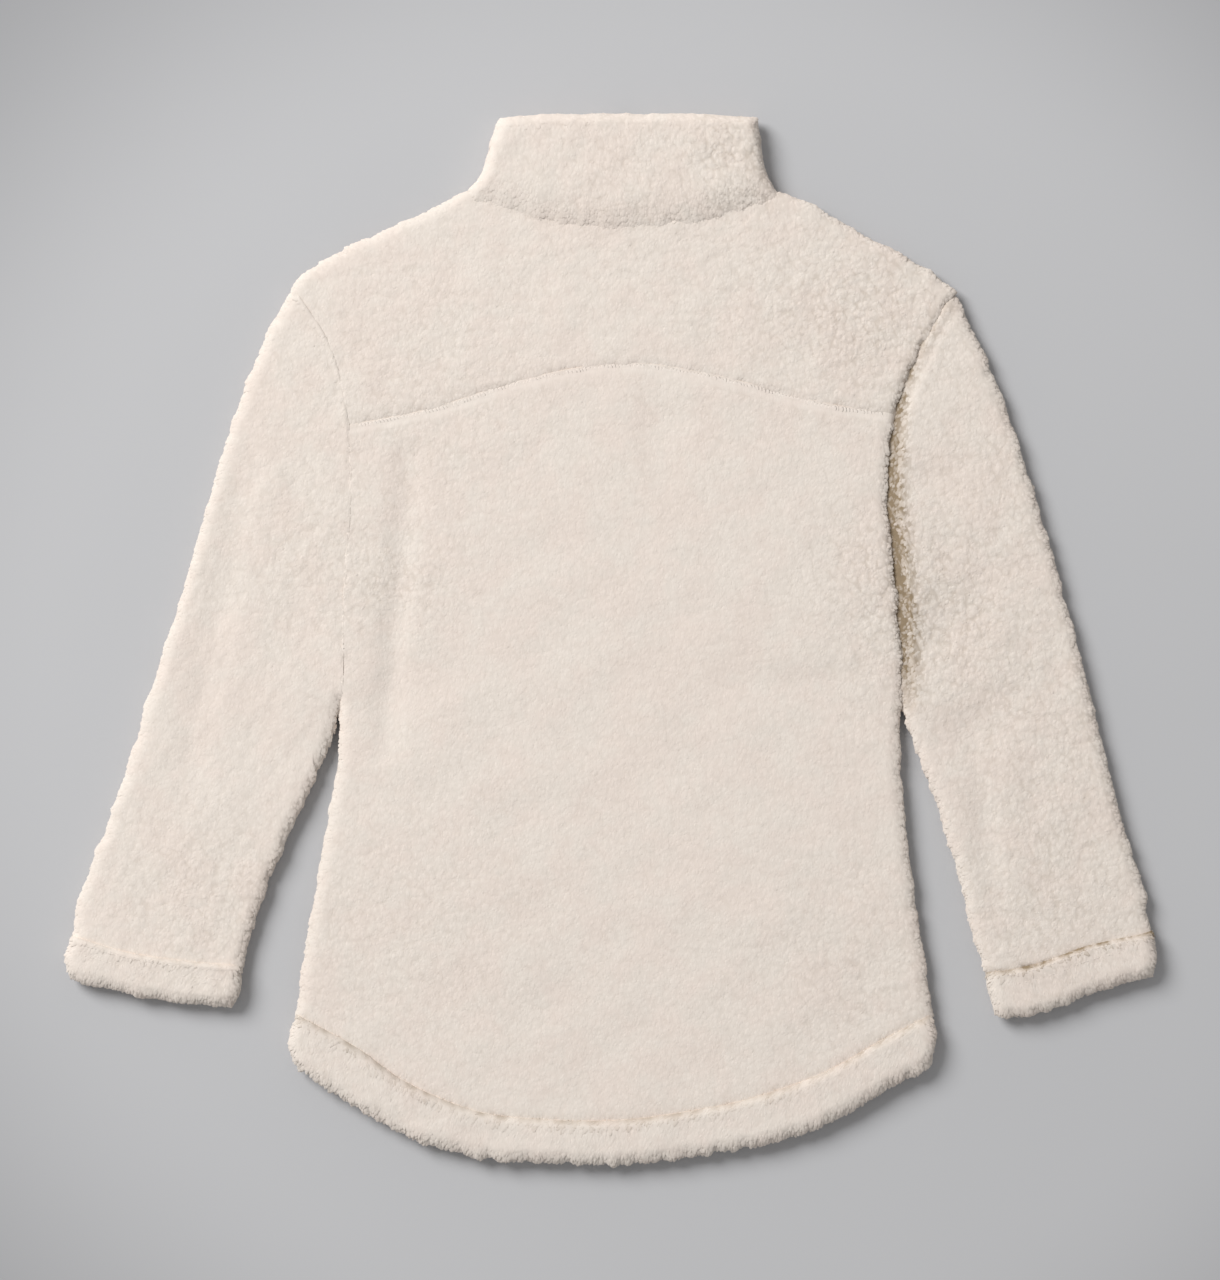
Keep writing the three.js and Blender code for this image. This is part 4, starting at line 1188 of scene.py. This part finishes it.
def seam_tree():
    """The tree that sets one thing after another along a line of points, such as the ribs of a seam."""
    inputs = {
        "Thing": ("NodeSocketObject", None),
        "Pitch": ("NodeSocketFloat", 0.0026),
        "Length": ("NodeSocketFloat", 0.0017),
        "Width": ("NodeSocketFloat", 0.0042),
        "Height": ("NodeSocketFloat", 0.0008),
        "Unevenness": ("NodeSocketFloat", 0.35),
        "Material": ("NodeSocketMaterial", None),
    }
    nodes, given = geometry_tree("Repeat along a seam", inputs)
    line = nodes.node("GeometryNodeMeshToCurve", {}, {0: given["Geometry"]}).outputs[0]
    spacing = {"Curve": line, "Length": given["Pitch"]}
    even = nodes.node("GeometryNodeResampleCurve", {"mode": "LENGTH"}, spacing).outputs[0]
    turn = turned_to(nodes, (0.0, 0.0, 1.0), nodes.node("GeometryNodeInputTangent").outputs[0])
    uneven = Number(nodes, given["Unevenness"])
    sides = [
        Number(nodes, given[side]) * (1 + uneven * chance(nodes, -1.0, 1.0, seed))
        for seed, side in enumerate(("Length", "Width", "Height"), 1)
    ]
    thing = nodes.node("GeometryNodeObjectInfo", {}, {"Object": given["Thing"]}).outputs["Geometry"]
    each = instances(nodes, even, thing, turn, combine(nodes, *sides))
    real = nodes.node("GeometryNodeRealizeInstances", {}, {0: each}).outputs[0]
    place = nodes.node("GeometryNodeInputPosition").outputs[0]
    kept = keep_as(nodes, real, "place", place, "FLOAT_VECTOR")
    kept = keep_as(nodes, kept, "cloth", combine(nodes, 0.0, 0.0, 2.0), "FLOAT_VECTOR")
    whole = nodes.node("ShaderNodeValue").outputs[0]
    whole.default_value = 1.0
    finish_tree(nodes, keep_as(nodes, kept, "tip", whole), given["Material"])
    return nodes.tree


def along_line(name, lines, values):
    """A piece of things set along lines of points in millimetres, such as the ribs of a seam."""
    mesh = bpy.data.meshes.new(name)
    points = np.concatenate(lines) * MM + ORIGIN
    starts = np.cumsum([0] + [len(line) for line in lines])
    edges = [(k, k + 1) for start, end in zip(starts, starts[1:]) for k in range(start, end - 1)]
    mesh.from_pydata(points.tolist(), edges, [])
    return grown(in_scene(name, mesh), shared("node_groups", "Repeat along a seam", seam_tree), values)


def grown(piece, tree, values):
    """Gives a piece a node tree's result as its plain mesh, and takes the modifier off."""
    modifier = piece.modifiers.new(tree.name, "NODES")
    modifier.node_group = tree
    for item in tree.interface.items_tree:
        if item.in_out == "INPUT" and item.name in values:
            modifier[item.identifier] = values[item.name]
    graph = bpy.context.evaluated_depsgraph_get()
    result = bpy.data.meshes.new_from_object(
        piece.evaluated_get(graph), preserve_all_data_layers=True, depsgraph=graph
    )
    bare = piece.data
    piece.modifiers.clear()
    piece.data = result
    bpy.data.meshes.remove(bare)
    result.name = piece.name
    return piece


def material_nodes(name):
    """A new material and its empty node tree."""
    material = bpy.data.materials.new(name)
    material.use_nodes = True
    material.node_tree.nodes.clear()
    return material, Nodes(material.node_tree)


def finish_material(nodes, inputs):
    """Ends a material in its shader."""
    shader = nodes.node("ShaderNodeBsdfPrincipled", {}, inputs)
    nodes.node("ShaderNodeOutputMaterial", {}, {"Surface": shader.outputs[0]})


CURLS_PER_METRE = 240.0


def fleece_material():
    """High-pile fleece: cream curls, with painted warm shade in the partings between them and at the roots
    of the locks, and fine fibres.
    """
    material, nodes = material_nodes("Cream fleece")
    look = bpy.context.scene.jacket_fleece
    kept = {
        key: nodes.node("ShaderNodeAttribute", {"attribute_name": key}).outputs
        for key in ("place", "cloth", "pile", "shade", "tone", "tip", "cover")
    }
    place, cloth = kept["place"]["Vector"], kept["cloth"]["Vector"]
    strength, shade, tone, tip, cover = (
        Number(nodes, kept[key]["Fac"]) for key in ("pile", "shade", "tone", "tip", "cover")
    )
    mottling = nodes.cloud(place, 0.03, 3.0, 0.6).eased(0.35, 0.65)
    cream = nodes.colour(mottling, look.cream, look.warm_cream)
    swirl = swirled(nodes, place, 0.008, 0.004)
    cells = {"Vector": nap_frame(nodes, swirl, 0.7), "Scale": CURLS_PER_METRE}
    apart = nodes.number("ShaderNodeTexVoronoi", {"feature": "F1"}, cells)
    # Painted shade: a warm brown in the partings between the curls and at the locks' roots and rims
    parting_shade = apart.eased(0.5, 0.85) * (0.03 + 0.15 * strength)
    root_shade = (1 - tip) * cover * (0.05 + 0.11 * strength)
    # How far the colour leans to the dark brown: the painted shade, plus each lock's own random tone
    deep = (root_shade + parting_shade + tone * 0.035 + shade * (1 - tip * 0.4)).clamped()
    colour = nodes.colour(deep, cream, look.parting_shade)
    fibre = nodes.cloud(nap_frame(nodes, swirl, 0.35), 0.0011, 2.0, 0.6)
    height = fibre * 0.5 + (nodes.cloud(swirl, 0.007, 1.0) * 1.8 - apart) * (0.22 + 0.85 * strength)
    # Locks take half of their shading from the cloth that they lie on
    half = nodes.vector("MULTIPLY", cloth, (0.5, 0.5, 0.5))
    blended = nodes.vector("NORMALIZE", nodes.vector("ADD", nodes.bump(0.6, 0.001, height), half))
    inputs = {"Base Color": colour, "Roughness": 0.95, "Specular IOR Level": 0.1, "Normal": blended}
    finish_material(nodes, inputs)
    return material


# ---- The zip ----
BONE_HEIGHT = 0.0012  # of the herringbone of a tape's threads, in metres
TAPE_ROWS = 90
FLAT_ANGLE, EDGE_ANGLE, SHARP_ANGLE = (math.radians(angle) for angle in (1, 30, 35))
# Half of a tape's section, from the bead at its teeth to its outer edge: reach and half height
TAPE_SECTION = ((0.0, 0.22), (0.25, 0.4), (1.2, 0.4), (1.6, 0.3), (10.9, 0.3), (11.3, 0.15))


def box_of(node):
    """The two corners of a solid, in millimetres of the tables."""
    return [(np.array(corner) - ORIGIN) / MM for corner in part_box(node)]


# The hard pieces: how far their edges are rounded, and their body
HARD_PIECES = {
    "zip_box": (0.5, "jacket"),
    "zip_stop_left": (0.3, "jacket"),
    "zip_stop_right": (0.3, "jacket"),
    "zip_slider": (0.2, "jacket"),
    "zip_pull": (0.15, "pull_tab"),
}


def tape(name, node, side):
    """A zip's woven tape, with a bead along its teeth."""
    low, high = box_of(node)
    inner, sign = (high[0], -1) if side == "left" else (low[0], 1)
    middle = (low[2] + high[2]) / 2
    section = [(inner + sign * x, middle + z) for x, z in TAPE_SECTION]
    section += [(inner + sign * x, middle - z) for x, z in reversed(TAPE_SECTION)]
    ys = np.linspace(low[1], high[1], TAPE_ROWS)
    points = np.array([[(x, y, z) for x, z in section] for y in ys])
    count = len(section)
    fan = np.array([(0, k, k + 1) for k in range(1, count - 1)])
    caps = np.concatenate([fan[:, ::-1], fan + count * (len(ys) - 1)])
    quads = quads_of(len(ys), count, 0, False, True)
    return new_mesh(name, points.reshape(-1, 3), quads, caps)


def rounded(node, radius):
    """A copy of a hard solid with its edges rounded."""
    made = bmesh.new()
    made.from_mesh(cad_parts[node].data)
    bmesh.ops.remove_doubles(made, verts=made.verts, dist=1e-6)
    bmesh.ops.dissolve_limit(made, angle_limit=FLAT_ANGLE, verts=made.verts, edges=made.edges)
    sharp = [line for line in made.edges if line.is_manifold and line.calc_face_angle() > EDGE_ANGLE]
    round_off = {"offset_type": "OFFSET", "segments": 2, "profile": 0.5, "affect": "EDGES"}
    bmesh.ops.bevel(made, geom=sharp, offset=radius, clamp_overlap=True, **round_off)
    bmesh.ops.triangulate(made, faces=made.faces)
    mesh = bpy.data.meshes.new("jacket_" + node)
    made.to_mesh(mesh)
    made.free()
    mesh.shade_smooth()
    mesh.set_sharp_from_angle(angle=SHARP_ANGLE)
    return in_scene(mesh.name, mesh)


def tape_material():
    """Woven tape: fine crossing threads in a herringbone."""
    material, nodes = material_nodes("Woven tape")
    look = bpy.context.scene.jacket_zip
    place = nodes.node("ShaderNodeTexCoord").outputs["Object"]
    x, y = (nodes.number("ShaderNodeSeparateXYZ", {}, {0: place}, k) for k in (0, 1))
    turn = 2 * math.pi / look.thread
    bones = ((x * (turn / 6)).maths("SINE") * BONE_HEIGHT).maths("ABSOLUTE")
    warp, weft = ((x * turn).maths("SINE"), ((y + bones) * turn).maths("SINE"))
    weave = (warp * weft + 1) * 0.5
    patches = nodes.cloud(place, 0.02).eased(0.3, 0.7)
    thread = nodes.colour(patches, look.tape, look.tape_shade)
    colour = nodes.colour(weave * 0.25, thread, look.tape_shade)
    bump = nodes.bump(0.5, 0.0002, weave)
    finish_material(nodes, {"Base Color": colour, "Roughness": 0.85, "Sheen Weight": 0.2, "Normal": bump})
    return material


def plastic_material():
    """Moulded plastic in the tape's colour, a little unevenly polished."""
    material, nodes = material_nodes("Moulded plastic")
    look = bpy.context.scene.jacket_zip
    place = nodes.node("ShaderNodeTexCoord").outputs["Object"]
    cloud = nodes.cloud(place, 0.004, 3.0, 0.6)
    colour = nodes.colour(cloud * 0.5, look.plastic, look.tape_shade)
    bump = nodes.bump(0.2, 0.0001, cloud)
    finish_material(nodes, {"Base Color": colour, "Roughness": cloud * 0.25 + 0.35, "Normal": bump})
    return material


def floor_material():
    """Pale paper, painted darker towards the edges of the light: a painted fall-off of light."""
    material, nodes = material_nodes("Pale floor")
    look = bpy.context.scene.jacket_stage
    place = nodes.node("ShaderNodeTexCoord").outputs["Object"]
    from_centre = nodes.vector("SUBTRACT", place, BRIGHT_CENTRE)
    away = nodes.node("ShaderNodeVectorMath", {"operation": "LENGTH"}, {0: from_centre}).outputs["Value"]
    # Painted fall-off of light: the colour dims away from the middle of the lamp's pool
    edge_of_light = Number(nodes, away).eased(look.bright, look.bright * 1.8)
    dimmed = (edge_of_light * 0.9 + nodes.cloud(place, 0.25) * 0.06).clamped()
    colour = nodes.colour(dimmed, look.floor, look.floor_painted_dim)
    bump = nodes.bump(0.1, 0.0001, nodes.cloud(place, 0.0015))
    inputs = {"Base Color": colour, "Roughness": 0.9, "Specular IOR Level": 0.1, "Normal": bump}
    finish_material(nodes, inputs)
    return material


# ---- Settings ----
def colour_setting(name, description, default):
    """A colour that a user can change."""
    return bpy.props.FloatVectorProperty(
        name=name, description=description, default=(*default, 1.0), size=4, subtype="COLOR", min=0, max=1
    )


class JacketFleece(bpy.types.PropertyGroup):
    """The look of the fleece."""

    cream: colour_setting("Cream", "Colour of the fleece", (0.81, 0.735, 0.665))
    warm_cream: colour_setting("Warm cream", "Colour of its pinker patches", (0.81, 0.715, 0.645))
    # Colour of the painted shade between the curls, at the locks' roots and along sunk edges
    parting_shade: colour_setting("Parting", "Colour deep between the curls", (0.29, 0.22, 0.145))
    rib: bpy.props.FloatProperty(
        name="Rib", description="From one rib of a seam to the next", default=0.0026, unit="LENGTH"
    )


class JacketZip(bpy.types.PropertyGroup):
    """The look of the zip."""

    tape: colour_setting("Tape", "Colour of the tape's threads", (0.72, 0.62, 0.52))
    tape_shade: colour_setting("Tape shade", "Colour between the threads", (0.55, 0.45, 0.36))
    plastic: colour_setting("Plastic", "Colour of the teeth and slider", (0.68, 0.58, 0.49))
    thread: bpy.props.FloatProperty(
        name="Thread", description="Width of a thread and its gap", default=0.0006, unit="LENGTH"
    )
    pitch: bpy.props.FloatProperty(
        name="Pitch", description="From one tooth to the next on a tape", default=0.0025, unit="LENGTH"
    )


class JacketStage(bpy.types.PropertyGroup):
    """The floor and the light."""

    floor: colour_setting("Floor", "Colour of the floor", (0.53, 0.53, 0.54))
    # The floor's colour where the painted pool of light has fallen off
    floor_painted_dim: colour_setting("Floor edge", "Colour far from the middle of the floor", (0.29, 0.29, 0.297))
    # How far out the painted pool of light keeps the floor evenly bright
    bright: bpy.props.FloatProperty(
        name="Bright", description="How far out the floor is evenly bright", default=0.45, unit="LENGTH"
    )
    key: bpy.props.FloatProperty(name="Key light", description="Strength of the large light", default=462.0)
    fill: bpy.props.FloatProperty(
        name="Fill light", description="Strength of the light all round", default=0.37
    )


LONG_LOCKS = {"Length": 0.0078, "Width": 0.0032, "Height": 0.0012, "Spacing": 0.0015}  # of the bands
PILE_MARGIN = 0.02  # of the stretches that a piece's pile is parted into, past its ends, in metres

# Steps between the points of a tube: across its upper layer, along it and across its lower layer
SLEEVE_STEPS = (2.9, 2.6, 8.0)
CUFF_STEPS = (1.8, 1.8, 5.0)
BAND_STEPS = (1.8, 1.8, 7.0)
YOKE_STEP, BODY_STEP = 2.4, 2.8  # between the points of the upper sides of the back panels
# Seams sewn on the cloth: the rows of a piece's points, and a rib's or a stitch's sizes in millimetres
RIB_ROW, RIB_ENDS, RIB_SIZE = 4, 8, (3.4, 4.0, 0.09)
STITCH_ROWS, STITCH_ENDS, STITCH_SIZE = (5, 9), 9, (2.1, 0.8, 0.4)
CUFF_NAP = {"left": math.radians(-112), "right": math.radians(-72)}
COLLAR_NAP, HEM_NAP = math.radians(-95), math.radians(-108)


# ---- Operators ----
def clothe(piece, node, seed, parts=1, pile=None):
    """Finishes a piece, covers it with pile, sets both on the jacket's body and hides its solid.

    parts is in how many pieces its pile is, and pile is what its locks have other than usual.
    """
    fleece = shared("materials", "Cream fleece", fleece_material)
    grown(piece, shared("node_groups", "Fleece cloth", cloth_tree), {"Material": fleece})
    low, high = (corner.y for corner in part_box(node))
    limits = np.linspace(low - PILE_MARGIN, high + PILE_MARGIN, parts + 1)
    for k in range(parts):
        layer = in_scene(f"{piece.name}_pile" + (f"_{k + 1}" if parts > 1 else ""), piece.data.copy())
        values = {
            "Lock": shared("objects", "lock", lock_object),
            "Lowest": float(limits[k]),
            "Highest": float(limits[k + 1]),
            "Seed": seed + k,
            "Material": fleece,
            **(pile or {}),
        }
        grown(layer, shared("node_groups", "Fleece locks", locks_tree), values)
        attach(layer, "jacket")
    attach(piece, "jacket")
    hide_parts(node)


def seam(name, lines, size):
    """The ribs or stitches of a seam along lines on the cloth, each of a size in millimetres."""
    values = {
        "Thing": shared("objects", "rib", rib_object),
        "Pitch": bpy.context.scene.jacket_fleece.rib,
        "Material": shared("materials", "Cream fleece", fleece_material),
    }
    values.update({key: value * MM for key, value in zip(("Length", "Width", "Height"), size)})
    piece = along_line(name, lines, values)
    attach(piece, "jacket")
    return piece


def shared(kind, name, make):
    """A material, a node tree or an object that is made once."""
    return getattr(bpy.data, kind).get(name) or make()


def area_of(outline):
    """The flat area inside an outline, in square metres."""
    lines = outline["top"], outline["right"], outline["bottom"][::-1], outline["left"][::-1]
    x, y = np.concatenate(lines).T
    return abs(np.sum(x * np.roll(y, -1) - y * np.roll(x, -1))) / 2 * MM * MM


class JacketBack(bpy.types.Operator):
    """Builds the back yoke and the back body"""

    bl_idname = "jacket.back"
    bl_label = "Back"

    def execute(self, context):
        yoke, _ = back_panel("jacket_back_yoke", YOKE, yoke_rolls, YOKE_STEP, 11)
        clothe(yoke, "back_yoke", 100)
        body, upper = back_panel("jacket_back_body", BODY, body_rolls, BODY_STEP, 21)
        ribs = seam("jacket_yoke_seam", [upper[RIB_ROW, RIB_ENDS:-RIB_ENDS]], RIB_SIZE)
        clothe(body, "back_body", 200, 3)
        return {"FINISHED"}


class JacketFronts(bpy.types.Operator):
    """Builds the two fronts, which lie under the back"""

    bl_idname = "jacket.fronts"
    bl_label = "Fronts"

    def execute(self, context):
        for side, seed in (("left", 71), ("right", 81)):
            front = front_panel(f"jacket_front_{side}", side)
            area = area_of(cut_outline(FRONT, side))
            clothe(front, f"front_{side}", seed, 0)
        return {"FINISHED"}


class JacketSleeves(bpy.types.Operator):
    """Builds the sleeves and their cuffs"""

    bl_idname = "jacket.sleeves"
    bl_label = "Sleeves and cuffs"

    def execute(self, context):
        for side, seed in (("left", 31), ("right", 41)):
            name, outline = f"sleeve_{side}", SLEEVE[side]
            sleeve, _ = tube("jacket_" + name, outline, sleeve_rolls(side), BODY_LAYER, SLEEVE_STEPS, seed)
            clothe(sleeve, name, 10 * seed)
            name, outline = f"cuff_{side}", CUFF[side]
            cuff, top = tube("jacket_" + name, outline, cuff_rolls(side), CUFF_LAYER, CUFF_STEPS, seed + 5)
            rows = [top[row, STITCH_ENDS:-STITCH_ENDS] for row in STITCH_ROWS]
            stitches = seam(f"jacket_{name}_stitches", rows, STITCH_SIZE)
            nap = {"Nap": CUFF_NAP[side], **LONG_LOCKS}
            clothe(cuff, name, 10 * seed + 5, 1, nap)
        return {"FINISHED"}


class JacketBands(bpy.types.Operator):
    """Builds the collar and the hem band"""

    bl_idname = "jacket.bands"
    bl_label = "Collar and hem band"

    def execute(self, context):
        collar, _ = tube("jacket_collar", COLLAR, collar_rolls, COLLAR_LAYER, BAND_STEPS, 51, True)
        nap = {"Nap": COLLAR_NAP}
        clothe(collar, "collar", 510, pile=nap)
        hem, _ = tube("jacket_hem_band", HEM, hem_rolls, HEM_LAYER, BAND_STEPS, 61, True)
        nap = {"Nap": HEM_NAP, **LONG_LOCKS}
        clothe(hem, "hem_band", 610, pile=nap)
        return {"FINISHED"}


class JacketZipParts(bpy.types.Operator):
    """Builds the closed zip: its tapes, teeth, box, stops, slider and pull"""

    bl_idname = "jacket.zip_parts"
    bl_label = "Zip"

    def execute(self, context):
        woven, plastic = tape_material(), plastic_material()
        for side in SIDES:
            node = f"zip_tape_{side}"
            piece = tape("jacket_" + node, node, side)
            piece.data.materials.append(woven)
            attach(piece, "jacket")
            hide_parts(node)
            low, high = box_of(node)
        low, high = box_of("zip_teeth")
        middle = (low + high) / 2
        ends = [(middle[0], y, middle[2]) for y in (low[1] + 1, high[1] - 2)]
        pitch = context.scene.jacket_zip.pitch
        values = {"Thing": teeth_object(), "Unevenness": 0.0, "Material": plastic}
        values.update({key: pitch for key in ("Pitch", "Length", "Width", "Height")})
        teeth = along_line("jacket_zip_teeth", [np.array(ends)], values)
        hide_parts("zip_teeth")
        hard = [(teeth, "jacket")]
        for node, (radius, body) in HARD_PIECES.items():
            piece = rounded(node, radius * MM)
            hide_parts(node)
            hard.append((piece, body))
        for piece, body in hard:
            if not piece.data.materials:
                piece.data.materials.append(plastic)
            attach(piece, body)
        return {"FINISHED"}


# The stage, in metres
FLOOR_SIZE = 9.0
FLOOR_GAP = 0.0003  # below the lowest point of the cloth
KEY_SIZE, KEY_PLACE = 3.7, (-3.8, 3.4, 4.4)
CAMERA_DISTANCE = 3.2
VIEW_HEIGHT = 0.9216  # what the camera takes in, from top to bottom
VIEW_CENTRE = (-0.0008, -0.0007, 0.012)
SENSOR = 36.0  # its longer side, in millimetres


class JacketScene(bpy.types.Operator):
    """Builds the floor, the light and the camera"""

    bl_idname = "jacket.stage"
    bl_label = "Stage"

    def execute(self, context):
        look = context.scene.jacket_stage
        bpy.ops.mesh.primitive_plane_add(size=FLOOR_SIZE, location=(0, 0, -FLOOR_GAP))
        floor = context.object
        floor.name = "floor"
        floor.data.materials.append(floor_material())
        light = bpy.data.lights.new("key", "AREA")
        light.shape, light.size, light.energy = "DISK", KEY_SIZE, look.key
        key = in_scene("key", light)
        key.location = KEY_PLACE
        key.rotation_euler = (-key.location).to_track_quat("-Z", "Y").to_euler()
        world = bpy.data.worlds.new("room")
        world.use_nodes = True
        world.node_tree.nodes["Background"].inputs["Strength"].default_value = look.fill
        world.node_tree.nodes["Background"].inputs["Color"].default_value = (1, 1, 1, 1)
        context.scene.world = world
        lens = bpy.data.cameras.new("camera")
        lens.sensor_width, lens.lens = SENSOR, SENSOR * CAMERA_DISTANCE / VIEW_HEIGHT
        camera = in_scene("camera", lens)
        x, y, z = VIEW_CENTRE
        camera.location = (x, y, z + CAMERA_DISTANCE)
        context.scene.camera = camera
        context.scene.view_settings.view_transform = "Standard"
        return {"FINISHED"}


class JacketPanel(bpy.types.Panel):
    """Lists the steps that build the jacket"""

    bl_idname = "VIEW3D_PT_jacket"
    bl_label = "Fleece jacket"
    bl_space_type = "VIEW_3D"
    bl_region_type = "UI"
    bl_category = "Jacket"

    def draw(self, context):
        for operator in OPERATORS:
            self.layout.operator(operator.bl_idname)


OPERATORS = (JacketBack, JacketFronts, JacketSleeves, JacketBands, JacketZipParts, JacketScene)
GROUPS = {"jacket_fleece": JacketFleece, "jacket_zip": JacketZip, "jacket_stage": JacketStage}


def register():
    """Registers the settings, the operators and the panel."""
    for group in (*GROUPS.values(), *OPERATORS, JacketPanel):
        bpy.utils.register_class(group)
    for name, group in GROUPS.items():
        setattr(bpy.types.Scene, name, bpy.props.PointerProperty(type=group))


def unregister():
    """Takes them off again."""
    for name in GROUPS:
        delattr(bpy.types.Scene, name)
    for group in (JacketPanel, *reversed(OPERATORS), *GROUPS.values()):
        bpy.utils.unregister_class(group)


def main():
    """Builds the jacket."""
    register()
    bpy.ops.jacket.back()
    bpy.ops.jacket.fronts()
    bpy.ops.jacket.sleeves()
    bpy.ops.jacket.bands()
    bpy.ops.jacket.zip_parts()
    bpy.ops.jacket.stage()


if __name__ == "__main__":
    main()
